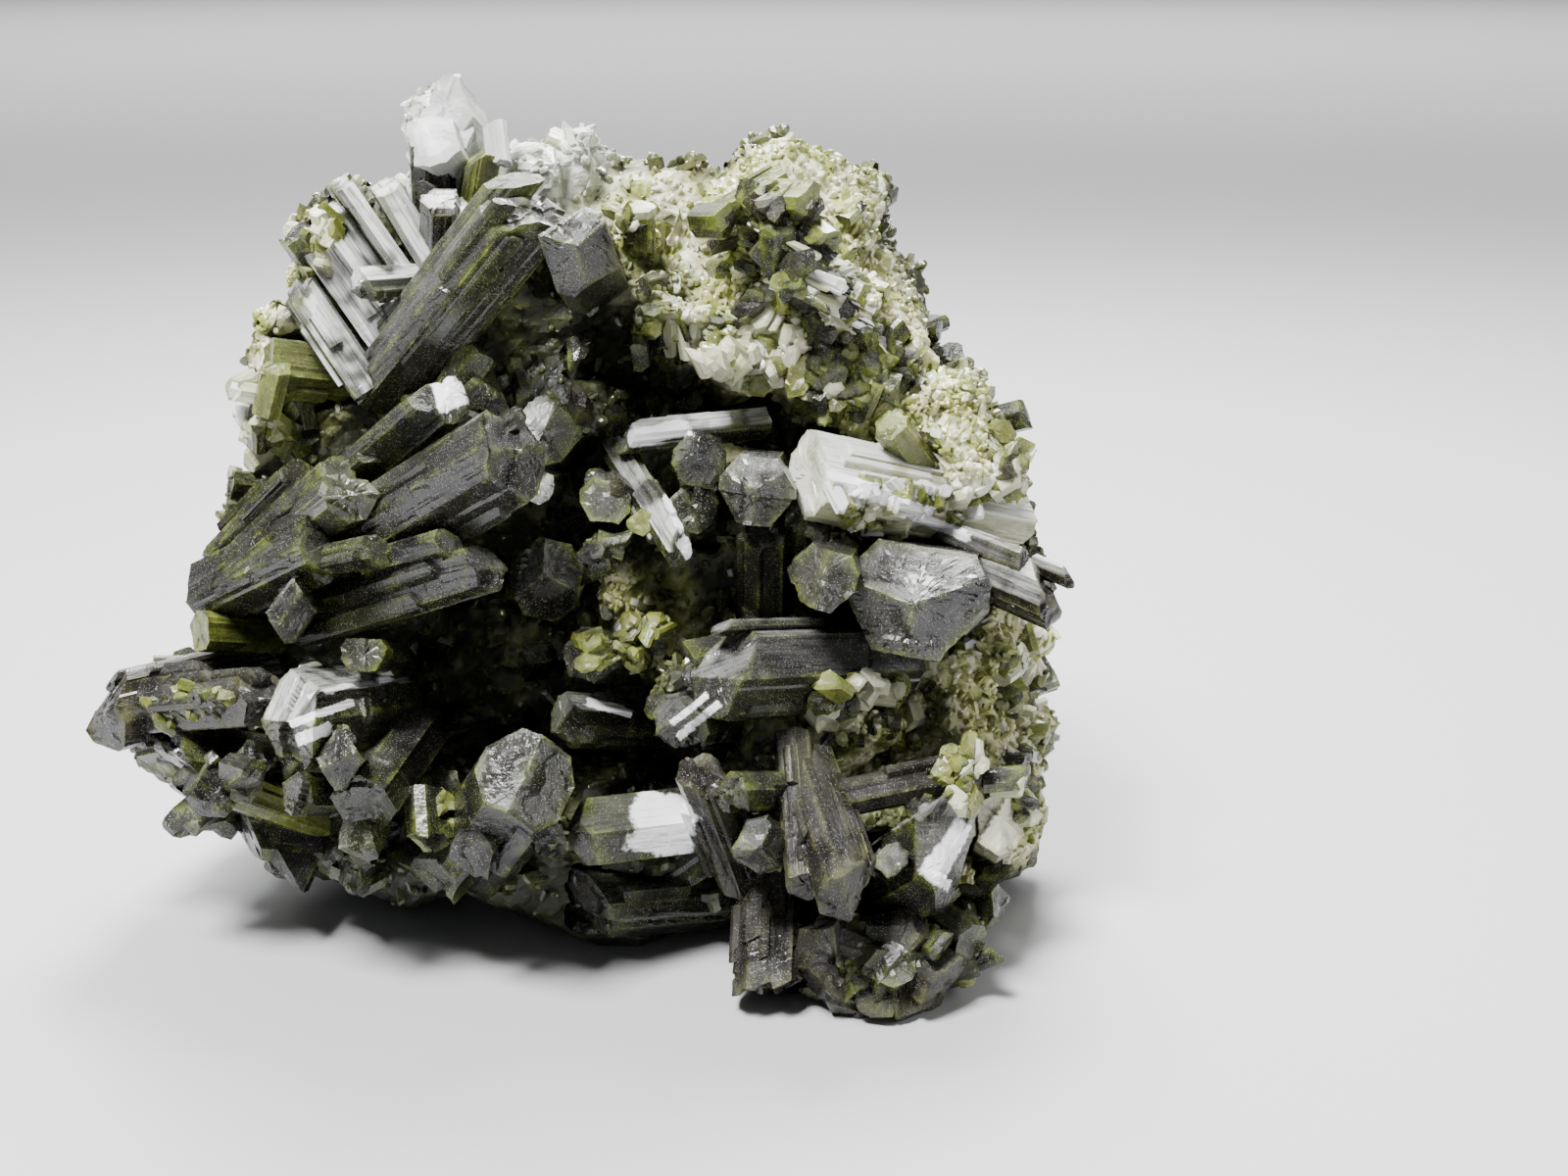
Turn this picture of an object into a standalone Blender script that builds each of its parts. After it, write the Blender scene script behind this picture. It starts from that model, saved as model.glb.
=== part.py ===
# An epidote specimen: dark olive prisms, singly and in parallel sheaves, on a pale green crusted rock.
# Survey lengths are millimetres; the finished objects are in metres, +Z up, viewer's side at -Y.
import math
import random

import bmesh
import bpy
from mathutils import Euler, Matrix, Vector

# Driving dimensions
MILLIMETRE = 0.001
GAP = 0.3               # clear space between a crystal and what it sits in
DEEP_TRIM = 0.55        # share of the half thickness beyond which a socket follows a trimmed edge
LEDGE_RISE = 0.22       # how far a growth ledge stands out of its crystal's face
LEDGE_SPREAD = (0.8, 1.8)       # least and most of that rise, in times
LEDGE_WIDTH = (0.22, 0.42)      # a ledge's share of its crystal's width
LEDGE_THICKNESS = (0.35, 0.6)   # and of its thickness
LEDGE_STOP = (0.12, 0.5)        # how far a ledge stops short of the end facets
CORNER_LEAN = (0.82, 0.57)      # how the facet between two broad faces leans
CORNER_TRIM = (0.25, 0.6)       # how deep such a facet cuts, where none is stated
END_SLOPE = 0.25        # least slope of an end facet along its crystal
STEEPEST_END = 0.5      # the slope that a flatter end facet is given
END_SINK = 0.25         # how far back a second end facet may lie, and a third twice that
WELD = 0.000001         # metres within which a union's doubled points are one
SEED = 1801

# The survey's viewpoint: a standing eye that looks down on the specimen
EYE_PITCH = math.radians(16.0)
EYE_DISTANCE = 160.0
EYE_RIGHT = 14.8
EYE_BACK = 153.8
EYE_HEIGHT = 69.2
AIM_HEIGHT = 29.7       # height on the survey plane that the eye looks straight at

# Colours: red, green, blue, roughness
OLIVE = (0.060, 0.068, 0.026, 0.22)
BLACK_GREEN = (0.030, 0.036, 0.018, 0.18)
BROWN_OLIVE = (0.088, 0.080, 0.040, 0.35)
YELLOW_GREEN = (0.230, 0.250, 0.050, 0.35)
GREY_GREEN = (0.240, 0.255, 0.150, 0.55)
CRUST_GREEN = (0.330, 0.340, 0.160, 0.80)


# Survey: a point seen at (right, up) on the picture plane, lying at the given depth behind it
def place(right, up, depth):
    across = right - EYE_RIGHT
    above = up - AIM_HEIGHT
    ray = Vector((across,
                  above * math.sin(EYE_PITCH) + EYE_DISTANCE * math.cos(EYE_PITCH),
                  above * math.cos(EYE_PITCH) - EYE_DISTANCE * math.sin(EYE_PITCH)))
    eye = Vector((EYE_RIGHT, -EYE_BACK, EYE_HEIGHT))
    return eye + ray * ((EYE_BACK + depth) / ray.y)


# A direction given as (right, up, toward the viewer)
def heading(right, up, toward):
    return Vector((right, -toward, up)).normalized()


# One crystal: root and tip as survey points, width across its broad face, thickness through it,
# the way that the broad face looks, and the ways that its end facets look
def crystal(root, tip, width, thickness, faces=(0.0, 0.5, 1.0), ends=None, trim=None, ledges=0):
    return {"root": place(*root), "tip": place(*tip), "width": width, "thickness": thickness,
            "faces": heading(*faces), "ends": ends, "trim": trim, "ledges": ledges}


# One rough block of rock: centre as a survey point, half sizes along X, Y and Z
def boulder(centre, half_sizes, lumps=0):
    return {"centre": place(*centre), "half_sizes": half_sizes, "lumps": lumps}


# Crystal groups, nearest neighbours first: where two groups meet, the later one gives way
GROUPS = {
    # The long blade at the top left, with its pale upper ledge and broken, frosted end
    "top_blade": (OLIVE, [
        crystal((-13.6, 43.4, 3.0), (-2.6, 57.0, -7.0), 4.8, 4.2, (0.5, -0.1, 1.0),
                [(-0.1, 1.0, 0.45), (0.5, 0.9, 0.1)], (0.3, 0.2, 0.5, 0.3), 1),
        crystal((-12.6, 47.6, 2.0), (-4.2, 58.4, -5.0), 2.3, 2.8, (-0.7, 0.7, 0.8),
                [(-0.2, 1.0, 0.4)]),
    ]),
    "end_on_crystal": (BLACK_GREEN, [
        crystal((1.6, 51.6, 6.0), (0.4, 53.6, -9.5), 5.8, 5.8, (0.2, 0.7, 0.3),
                [(0.15, 0.9, 0.7), (-0.2, -0.35, 1.0), (0.9, -0.1, 0.7)], (0.7, 0.6, 0.6, 0.7)),
    ]),
    "top_grey_prisms": (BROWN_OLIVE, [
        crystal((-9.2, 52.6, 6.0), (-9.0, 57.0, -1.0), 3.4, 3.3, (0.1, -0.2, 1.0),
                [(0.0, 1.0, 0.5)]),
        crystal((-9.9, 54.5, 6.0), (-10.2, 61.2, 4.0), 3.2, 3.2, (-0.3, 0.1, 1.0),
                [(-0.3, 1.0, 0.2), (0.6, 0.8, 0.3)]),
    ]),
    "top_yellow_prism": (YELLOW_GREEN, [
        crystal((-7.1, 56.0, 5.0), (-6.2, 61.0, 3.0), 2.3, 2.0, (0.4, 0.0, 1.0),
                [(0.4, 1.0, 0.2), (-0.7, 0.9, 0.3)]),
    ]),
    # Parallel slabs that dip to the right, on the upper left flank
    "upper_left_slabs": (OLIVE, [
        crystal((-11.8, 47.0, 6.0), (-18.0, 55.8, 7.0), 4.6, 5.5, (-0.5, 0.4, 1.0), [(-0.6, 1.0, 0.3)]),
        crystal((-11.6, 51.2, 4.0), (-16.5, 58.2, 4.5), 1.5, 4.5, (-0.1, 0.7, 0.9), [(-0.5, 1.0, 0.2)]),
        crystal((-9.6, 51.8, 4.0), (-13.3, 58.0, 4.0), 2.0, 4.0, (-0.1, 0.7, 0.9), [(-0.4, 1.0, 0.3)]),
        crystal((-13.4, 49.6, 4.0), (-17.8, 55.6, 4.5), 1.3, 4.0, (-0.1, 0.7, 0.9), [(-0.6, 1.0, 0.3)]),
        crystal((-11.0, 51.3, 3.0), (-15.2, 51.0, -1.5), 2.4, 2.3, (0.0, 0.8, 0.8),
                [(-1.0, 0.1, 0.7), (-0.6, -0.6, 0.8)]),
    ]),
    "left_bright_bar": (OLIVE, [
        crystal((-14.2, 43.4, 1.5), (-19.5, 51.3, 3.5), 2.5, 4.0, (-0.2, 0.6, 1.0),
                [(-0.8, 0.6, 0.3)], (0.2, 0.3, 0.4, 0.3)),
    ]),
    "left_green_block": (YELLOW_GREEN, [
        crystal((-16.5, 44.6, 7.0), (-22.2, 45.2, 2.0), 4.2, 4.0, (0.1, 0.6, 1.0), [(-1.0, 0.3, 0.4)]),
    ]),
    # The left sheaf: parallel prisms that rise to the right and toward the viewer
    "sheaf_upper": (BLACK_GREEN, [
        crystal((-17.6, 31.4, 0.0), (-3.9, 39.6, -13.0), 5.4, 5.6, (0.3, -0.5, 1.0),
                [(1.0, 0.2, 0.75), (0.7, 0.9, 0.4)], (0.4, 0.2, 0.6, 0.3), 2),
        crystal((-17.0, 36.2, 2.0), (-9.0, 43.0, -7.0), 3.4, 4.2, (-0.2, 0.6, 1.0),
                [(0.9, 0.7, 0.7), (0.1, 1.0, 0.6)], None, 1),
    ]),
    "sheaf_left": (OLIVE, [
        crystal((-25.0, 29.4, 2.0), (-16.5, 33.6, -6.0), 4.8, 5.0, (-0.2, 0.7, 0.8),
                [(0.8, 0.0, 1.0)], None, 1),
        crystal((-20.0, 33.0, 0.0), (-15.6, 36.4, -9.0), 2.8, 3.6, (-0.3, 0.7, 0.7),
                [(0.35, -0.2, 1.0), (0.2, 0.9, 0.7)]),
        crystal((-25.0, 32.2, 1.0), (-19.4, 38.0, -1.5), 2.0, 2.2, (-0.4, 0.7, 0.9), [(0.8, 0.8, 0.6)]),
        crystal((-24.2, 31.2, -1.0), (-16.6, 38.0, -4.5), 2.3, 2.4, (-0.4, 0.7, 0.9), [(0.7, 0.7, 0.9)]),
        crystal((-24.8, 29.8, -2.0), (-20.2, 33.4, -5.0), 1.8, 2.0, (-0.3, 0.7, 0.9), [(0.7, 0.6, 0.9)]),
    ]),
    "sheaf_lower": (BLACK_GREEN, [
        crystal((-18.6, 27.2, 0.0), (-5.2, 31.4, -12.0), 3.5, 3.8, (0.1, 0.3, 1.0),
                [(1.0, 0.2, 0.6), (0.6, 1.0, 0.2)], None, 1),
        crystal((-19.6, 31.2, -3.0), (-13.8, 32.4, -9.0), 1.8, 2.6, (0.0, 0.7, 0.8), [(0.9, 0.3, 0.8)]),
        crystal((-14.4, 31.2, -6.0), (-8.8, 32.8, -11.0), 1.6, 2.4, (0.0, 0.7, 0.8), [(0.9, 0.3, 0.8)]),
    ]),
    "sheaf_stub": (BLACK_GREEN, [
        crystal((-18.6, 29.0, 2.0), (-19.9, 28.0, -9.0), 4.7, 4.5, (0.1, 1.0, 0.2),
                [(0.0, 0.25, 1.0), (0.7, -0.3, 0.9)], (0.8, 0.8, 0.7, 0.8)),
    ]),
    "left_green_stub": (YELLOW_GREEN, [
        crystal((-21.0, 26.4, 4.0), (-26.4, 26.7, -2.0), 2.8, 2.9, (0.1, 0.4, 1.0), [(-1.0, 0.1, 0.8)]),
    ]),
    # The centre, in front of the upper hollow and over the main pocket
    "grey_cube_crystal": (OLIVE, [
        crystal((-1.2, 39.6, 7.0), (-2.1, 40.8, -3.0), 4.0, 4.0, (0.5, 0.8, 0.3),
                [(-0.1, 0.5, 1.0), (0.8, 0.0, 0.8)], (0.2, 0.3, 0.2, 0.3)),
        crystal((-1.0, 37.2, 6.0), (-2.4, 36.8, -3.0), 2.0, 2.2, (0.3, 0.8, 0.5), [(-0.2, 0.5, 1.0)]),
    ]),
    "centre_pyramid": (BLACK_GREEN, [
        crystal((-1.4, 30.0, 6.0), (-2.2, 30.4, -8.0), 5.0, 5.6, (0.2, 0.9, 0.4),
                [(-0.9, 0.5, 0.8), (0.8, 0.5, 0.8), (0.1, -0.6, 0.9)], (0.4, 0.5, 0.5, 0.4)),
        crystal((-2.2, 30.0, -2.0), (2.9, 32.0, -5.0), 2.6, 1.3, (0.1, 0.9, 0.6), [(1.0, 0.4, 0.4)]),
    ]),
    "bright_blade": (OLIVE, [
        crystal((13.4, 41.2, 4.0), (3.5, 40.2, -1.5), 1.7, 2.4, (0.0, 0.8, 0.8),
                [(-1.0, 0.3, 0.6)], (0.3, 0.2, 0.2, 0.3)),
    ]),
    "small_pyramid": (BLACK_GREEN, [
        crystal((8.8, 36.8, 3.0), (8.8, 39.2, -6.0), 3.8, 3.6, (0.1, 0.8, 0.6),
                [(-0.7, 0.8, 0.7), (0.8, 0.6, 0.7), (0.1, -0.4, 1.0)], (0.3, 0.4, 0.4, 0.3)),
    ]),
    "centre_dark_prism": (BLACK_GREEN, [
        crystal((8.8, 34.6, 4.0), (8.3, 35.6, -5.5), 3.4, 3.8, (0.1, 0.7, 0.5),
                [(-0.2, 0.2, 1.0), (0.6, 0.4, 0.8)]),
    ]),
    "centre_block": (OLIVE, [
        crystal((13.4, 37.2, 4.0), (12.8, 36.4, -8.5), 5.2, 4.6, (0.1, 1.0, 0.2),
                [(-0.1, 0.9, 0.8), (-0.6, -0.1, 1.0), (0.5, -0.2, 1.0)], (0.5, 0.4, 0.5, 0.5)),
    ]),
    "bright_striated_prism": (OLIVE, [
        crystal((2.9, 39.6, 2.0), (7.7, 31.9, -9.0), 2.4, 2.3, (-0.2, 0.6, 1.0),
                [(0.7, -0.5, 0.9), (0.9, 0.2, 0.6)], (0.3, 0.3, 0.4, 0.4), 1),
    ]),
    "upright_prism": (BLACK_GREEN, [
        crystal((13.4, 25.8, 2.0), (13.5, 34.0, -3.5), 3.4, 3.4, (0.3, 0.0, 1.0),
                [(0.0, 1.0, 0.4)], None, 1),
        crystal((16.6, 29.6, 2.0), (16.4, 35.0, -4.0), 3.0, 3.6, (0.4, 0.1, 1.0),
                [(-0.2, 1.0, 0.6), (0.5, 0.6, 0.8)]),
    ]),
    # The right flank
    "pale_slab": (GREY_GREEN, [
        crystal((30.6, 34.8, 6.0), (16.6, 37.6, -4.0), 5.6, 4.6, (0.1, 0.9, 0.75),
                [(-1.0, 0.2, 0.6)], (0.2, 0.2, 0.3, 0.3), 2),
    ]),
    "right_pale_block": (GREY_GREEN, [
        crystal((27.0, 37.4, 10.0), (31.2, 38.6, 1.0), 4.8, 4.6, (0.2, 0.8, 0.6),
                [(0.5, 0.2, 1.0), (1.0, 0.2, 0.3)]),
    ]),
    "right_yellow_prism": (YELLOW_GREEN, [
        crystal((25.4, 36.8, 3.0), (22.1, 41.2, -2.0), 2.6, 2.4, (-0.1, 0.4, 1.0),
                [(-0.5, 0.8, 0.7)], None, 1),
    ]),
    "projecting_prism": (BROWN_OLIVE, [
        crystal((26.4, 32.0, 2.0), (34.0, 28.7, -7.0), 4.0, 3.8, (0.1, 0.9, 0.5),
                [(0.9, -0.1, 0.7), (0.9, 0.6, 0.1)], (0.4, 0.4, 0.5, 0.4), 1),
        crystal((24.8, 34.0, 2.0), (31.8, 31.4, -5.0), 1.9, 2.4, (0.0, 0.9, 0.7), [(1.0, 0.1, 0.5)]),
    ]),
    "big_dark_crystal": (BLACK_GREEN, [
        crystal((25.0, 29.6, 8.0), (24.0, 28.6, -10.5), 9.6, 7.4, (0.1, 1.0, 0.25),
                [(-0.6, 0.0, 1.0), (0.4, -0.1, 1.0), (-0.1, 1.2, 0.7)], (0.3, 0.3, 0.5, 0.6), 1),
    ]),
    "small_right_block": (OLIVE, [
        crystal((18.2, 31.4, 0.0), (17.4, 30.2, -11.0), 4.6, 4.0, (0.2, 1.0, 0.3),
                [(0.0, 0.2, 1.0), (-0.9, 0.3, 0.7)], (0.3, 0.4, 0.5, 0.5)),
    ]),
    "striated_prism": (BLACK_GREEN, [
        crystal((22.6, 24.2, 0.0), (9.8, 23.6, -12.0), 5.8, 5.6, (0.0, 0.5, 0.9),
                [(-0.9, 0.1, 0.8), (-0.7, 0.9, 0.4)], (0.5, 0.3, 0.5, 0.4), 2),
    ]),
    "low_centre_crystal": (BLACK_GREEN, [
        crystal((4.6, 24.6, 2.0), (0.8, 25.0, -8.0), 3.8, 3.6, (0.1, 1.0, 0.3),
                [(-0.5, 0.3, 1.0), (0.4, 0.3, 1.0)], (0.4, 0.5, 0.5, 0.5)),
    ]),
    "highlight_block": (OLIVE, [
        crystal((10.6, 20.6, -1.0), (7.2, 20.1, -11.0), 3.8, 4.0, (0.4, 0.9, 0.5),
                [(-0.6, 0.1, 1.0), (-0.2, -0.5, 1.0)], (0.4, 0.3, 0.4, 0.5)),
    ]),
    "pocket_block": (BLACK_GREEN, [
        crystal((5.4, 20.0, 0.0), (-0.8, 20.4, -9.5), 3.4, 3.6, (0.2, 0.9, 0.5),
                [(-1.0, 0.2, 0.7), (-0.4, -0.3, 1.0)], (0.4, 0.3, 0.4, 0.4), 1),
    ]),
    # The lower left cluster
    "stepped_crystal": (OLIVE, [
        crystal((-13.4, 21.2, 0.0), (-20.2, 20.2, -13.5), 5.8, 5.8, (-0.1, 0.8, 0.8),
                [(-0.9, -0.1, 0.8), (-0.8, 0.7, 0.5)], (0.3, 0.2, 0.4, 0.3), 3),
    ]),
    "round_end_crystal": (BLACK_GREEN, [
        crystal((-15.6, 18.0, -4.0), (-16.4, 17.6, -16.5), 4.4, 4.2, (0.1, 1.0, 0.2),
                [(-0.3, 0.8, 0.8), (0.2, -0.2, 1.0)], (0.8, 0.7, 0.7, 0.8)),
        crystal((-15.6, 15.0, -6.0), (-19.6, 15.2, -13.0), 3.0, 3.0, (0.0, 0.8, 0.7),
                [(-0.8, 0.2, 0.9)], (0.6, 0.6, 0.6, 0.6)),
    ]),
    "striated_flank": (BLACK_GREEN, [
        crystal((-11.2, 19.4, -1.0), (-14.8, 14.4, -13.5), 4.8, 5.0, (0.6, 0.2, 1.0),
                [(-0.4, -0.5, 1.0)], None, 2),
    ]),
    "far_left_prism": (BROWN_OLIVE, [
        crystal((-21.6, 23.6, 5.0), (-33.4, 20.6, -4.0), 5.4, 5.0, (0.0, 0.5, 1.0),
                [(-0.75, -0.2, 1.0), (-0.9, 0.7, 0.3)], (0.4, 0.4, 0.5, 0.5), 1),
    ]),
    "crumbly_prism": (BROWN_OLIVE, [
        crystal((-29.6, 21.2, -2.0), (-21.0, 21.9, -10.0), 4.4, 4.2, (-0.2, 0.8, 0.7),
                [(0.9, -0.6, 0.8), (0.5, 0.8, 0.2)], (0.5, 0.5, 0.6, 0.5), 1),
    ]),
    "lower_left_body": (BLACK_GREEN, [
        crystal((-17.4, 16.4, 3.0), (-28.4, 17.8, -6.0), 4.8, 5.2, (-0.1, 0.2, 1.0),
                [(-1.0, 0.1, 0.6), (-0.6, -0.7, 0.6)], None, 1),
        crystal((-21.6, 17.6, -1.0), (-22.8, 17.6, -9.5), 3.0, 2.8, (0.1, 1.0, 0.2), [(-0.1, 0.3, 1.0)],
                (0.8, 0.7, 0.7, 0.8)),
        crystal((-24.4, 16.4, 0.0), (-26.4, 14.8, -6.5), 2.8, 3.0, (0.1, 0.6, 0.8), [(-0.5, -0.2, 1.0)]),
    ]),
    "green_edged_blade": (YELLOW_GREEN, [
        crystal((-17.6, 13.0, -2.0), (-25.2, 15.8, -8.0), 2.2, 3.0, (0.0, 0.6, 1.0),
                [(-1.0, 0.4, 0.5)], (0.4, 0.4, 0.4, 0.4)),
    ]),
    "under_slab": (BLACK_GREEN, [
        crystal((-11.6, 12.6, 2.0), (-23.6, 13.6, -3.0), 3.4, 7.0, (-0.1, -0.3, 1.0),
                [(-0.9, -0.2, 0.6)]),
    ]),
    # The lower centre
    "lower_block": (BLACK_GREEN, [
        crystal((-6.8, 11.4, -4.0), (-3.2, 16.6, -15.5), 6.4, 6.2, (-0.2, -0.3, 1.0),
                [(0.0, 1.0, 0.75), (0.8, 0.5, 0.7)], (0.4, 0.3, 0.3, 0.4), 1),
    ]),
    "leaf_crystal": (OLIVE, [
        crystal((9.8, 13.6, -6.0), (-0.2, 12.4, -12.5), 5.6, 3.0, (-0.1, 0.9, 0.8),
                [(-0.9, 0.5, 0.1), (-0.8, -0.3, 0.9)], (0.9, 0.6, 0.8, 0.6)),
    ]),
    "base_slab": (BLACK_GREEN, [
        crystal((13.6, 8.6, 1.0), (0.8, 7.6, -7.0), 4.6, 7.0, (-0.1, 0.2, 1.0),
                [(-0.9, -0.1, 0.7)], None, 1),
    ]),
    # The lower right, where prisms cross in front of the foot
    "crossing_prisms": (BROWN_OLIVE, [
        crystal((16.2, 17.4, -9.0), (19.5, 7.6, -20.5), 4.3, 3.6, (0.5, 0.3, 1.0),
                [(0.0, -0.45, 1.0), (0.95, -0.1, 0.6)], (0.4, 0.3, 0.4, 0.5), 1),
        crystal((15.4, 19.2, -9.0), (16.4, 8.6, -18.0), 2.7, 2.6, (-0.3, 0.2, 1.0),
                [(-0.1, -0.6, 1.0)], (0.4, 0.4, 0.5, 0.4)),
    ]),
    "tall_brown_crystal": (BROWN_OLIVE, [
        crystal((11.8, 9.2, -8.0), (8.8, 17.0, -13.0), 3.4, 4.0, (0.4, 0.0, 1.0),
                [(-0.4, 1.0, 0.4), (0.5, 0.8, 0.6)], None, 1),
    ]),
    "lower_right_block": (OLIVE, [
        crystal((13.8, 12.4, -7.0), (13.2, 11.3, -17.5), 3.9, 4.2, (-0.2, 1.0, 0.3),
                [(-0.2, 0.35, 1.0), (0.9, -0.2, 0.9), (0.0, -0.8, 0.9)], (0.5, 0.5, 0.5, 0.5)),
    ]),
    "level_block": (OLIVE, [
        crystal((16.4, 15.4, -10.0), (10.8, 15.3, -15.5), 2.8, 2.8, (0.0, 0.7, 0.8),
                [(-1.0, 0.6, 0.5), (-0.7, -0.4, 1.0)], (0.5, 0.4, 0.5, 0.5)),
    ]),
    "level_olive_prism": (BROWN_OLIVE, [
        crystal((17.4, 14.6, -12.5), (28.8, 17.0, -9.5), 2.6, 2.8, (0.0, 0.6, 0.9),
                [(1.0, 0.2, 0.4)], None, 1),
        crystal((25.4, 15.6, -4.0), (27.6, 17.0, -11.0), 2.6, 3.6, (0.2, 1.0, 0.3), [(0.3, 0.4, 1.0)]),
    ]),
    "large_frosted_crystal": (OLIVE, [
        crystal((21.0, 7.6, -5.0), (27.2, 11.4, -16.0), 6.6, 6.0, (-0.5, 0.6, 0.9),
                [(0.6, 0.35, 1.0), (0.9, -0.3, 0.5)], (0.3, 0.4, 0.5, 0.4), 1),
        crystal((22.4, 9.6, -8.0), (22.4, 10.6, -17.5), 1.9, 2.2, (0.4, 0.8, 0.5), [(0.0, 0.4, 1.0)]),
    ]),
    "cracked_crystal": (GREY_GREEN, [
        crystal((29.6, 12.4, 0.0), (30.2, 13.6, -10.5), 4.0, 4.6, (0.3, 0.8, 0.4),
                [(0.1, 0.3, 1.0), (0.9, 0.2, 0.6)]),
    ]),
    "foot_prism": (BROWN_OLIVE, [
        crystal((14.4, 9.4, -7.0), (14.1, 1.0, -15.5), 5.6, 4.6, (-0.1, 0.3, 1.0),
                [(0.0, -1.0, 0.35), (0.5, -0.9, 0.5)], (0.5, 0.4, 0.4, 0.5), 2),
    ]),
    # Dark crystals on the top right mound
    "mound_crystals": (BLACK_GREEN, [
        crystal((15.0, 53.4, 8.0), (15.6, 55.2, -1.5), 3.6, 3.6, (0.3, 0.9, 0.4),
                [(0.4, 0.5, 0.9), (-0.5, 0.3, 1.0)], (0.4, 0.4, 0.4, 0.4)),
        crystal((15.4, 52.4, 6.0), (15.8, 52.0, -2.0), 3.0, 3.0, (0.2, 0.9, 0.4), [(0.0, 0.4, 1.0)]),
        crystal((12.4, 56.2, 6.0), (14.4, 57.0, -1.0), 2.2, 2.4, (0.0, 0.8, 0.6), [(0.6, 0.3, 0.9)]),
    ]),
    "mound_olive_prism": (YELLOW_GREEN, [
        crystal((14.8, 58.6, 3.0), (9.4, 55.6, 1.0), 1.7, 1.9, (-0.2, 0.8, 0.7), [(-1.0, 0.0, 0.6)]),
    ]),
    # The back and the sides away from the viewer
    "back_left_prism": (OLIVE, [
        crystal((-8.0, 36.0, 16.0), (-20.6, 40.0, 23.6), 4.6, 4.0, (0.0, 0.5, -1.0),
                [(-1.0, 0.4, 0.0), (-0.4, 0.5, -0.8)]),
        crystal((-8.6, 34.8, 16.0), (-17.0, 36.0, 25.6), 3.4, 3.0, (0.0, 0.4, -1.0), [(-0.8, 0.0, -0.9)]),
    ]),
    "back_upper_prism": (BLACK_GREEN, [
        crystal((2.0, 46.0, 14.0), (5.6, 58.6, 22.6), 4.2, 3.6, (-0.3, 0.0, -1.0),
                [(0.2, 1.0, -0.4), (-0.3, 0.5, -0.9)]),
        crystal((4.0, 46.4, 14.0), (11.6, 54.6, 25.0), 3.0, 3.2, (-0.2, 0.3, -1.0), [(0.7, 0.8, -0.4)]),
    ]),
    "back_middle_prism": (OLIVE, [
        crystal((12.0, 38.6, 17.0), (21.4, 36.4, 27.0), 5.0, 4.4, (0.0, 0.6, -1.0),
                [(0.9, -0.1, -0.6), (0.5, 0.9, -0.5)], None, 1),
    ]),
    "back_low_prism": (BROWN_OLIVE, [
        crystal((-1.0, 23.0, 18.0), (-9.6, 18.6, 27.0), 4.4, 4.4, (0.2, 0.7, -1.0),
                [(-0.8, -0.2, -0.7), (-0.2, 0.8, -0.8)]),
    ]),
    "back_crossing_prisms": (BLACK_GREEN, [
        crystal((-3.0, 47.0, 15.0), (-11.0, 53.6, 25.0), 4.0, 3.6, (0.3, 0.4, -1.0),
                [(-0.8, 0.6, -0.4), (-0.3, 0.3, -1.0)]),
        crystal((-3.4, 46.4, 16.0), (-9.6, 46.8, 26.5), 2.8, 2.8, (0.2, 0.8, -0.6),
                [(-0.6, 0.1, -1.0)]),
    ]),
    "back_centre_prisms": (OLIVE, [
        crystal((4.0, 38.0, 19.0), (-3.0, 33.0, 28.4), 4.4, 3.8, (-0.2, 0.6, -0.8),
                [(-0.7, -0.4, -0.8), (-0.2, 0.6, -1.0)]),
        crystal((4.6, 37.0, 20.0), (4.0, 29.6, 28.0), 3.0, 2.8, (0.4, 0.4, -0.8), [(-0.1, -0.6, -1.0)]),
        crystal((4.4, 38.6, 20.0), (0.6, 39.0, 27.8), 2.2, 2.4, (0.0, 0.7, -0.8), [(-0.6, 0.2, -1.0)]),
    ]),
    "back_right_prisms": (BLACK_GREEN, [
        crystal((13.6, 22.6, 16.0), (22.4, 15.6, 26.4), 4.6, 4.0, (0.4, 0.6, -0.8),
                [(0.8, -0.5, -0.6), (0.3, 0.6, -0.9)]),
        crystal((13.4, 23.8, 17.0), (20.6, 23.4, 26.8), 3.0, 3.0, (0.0, 0.7, -0.8), [(0.7, 0.0, -0.9)]),
    ]),
    "right_side_prism": (OLIVE, [
        crystal((26.0, 22.0, 10.0), (33.6, 24.6, 13.0), 4.0, 3.8, (0.2, 1.0, 0.3),
                [(1.0, 0.2, -0.2), (0.7, 0.8, 0.4)]),
    ]),
}

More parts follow.
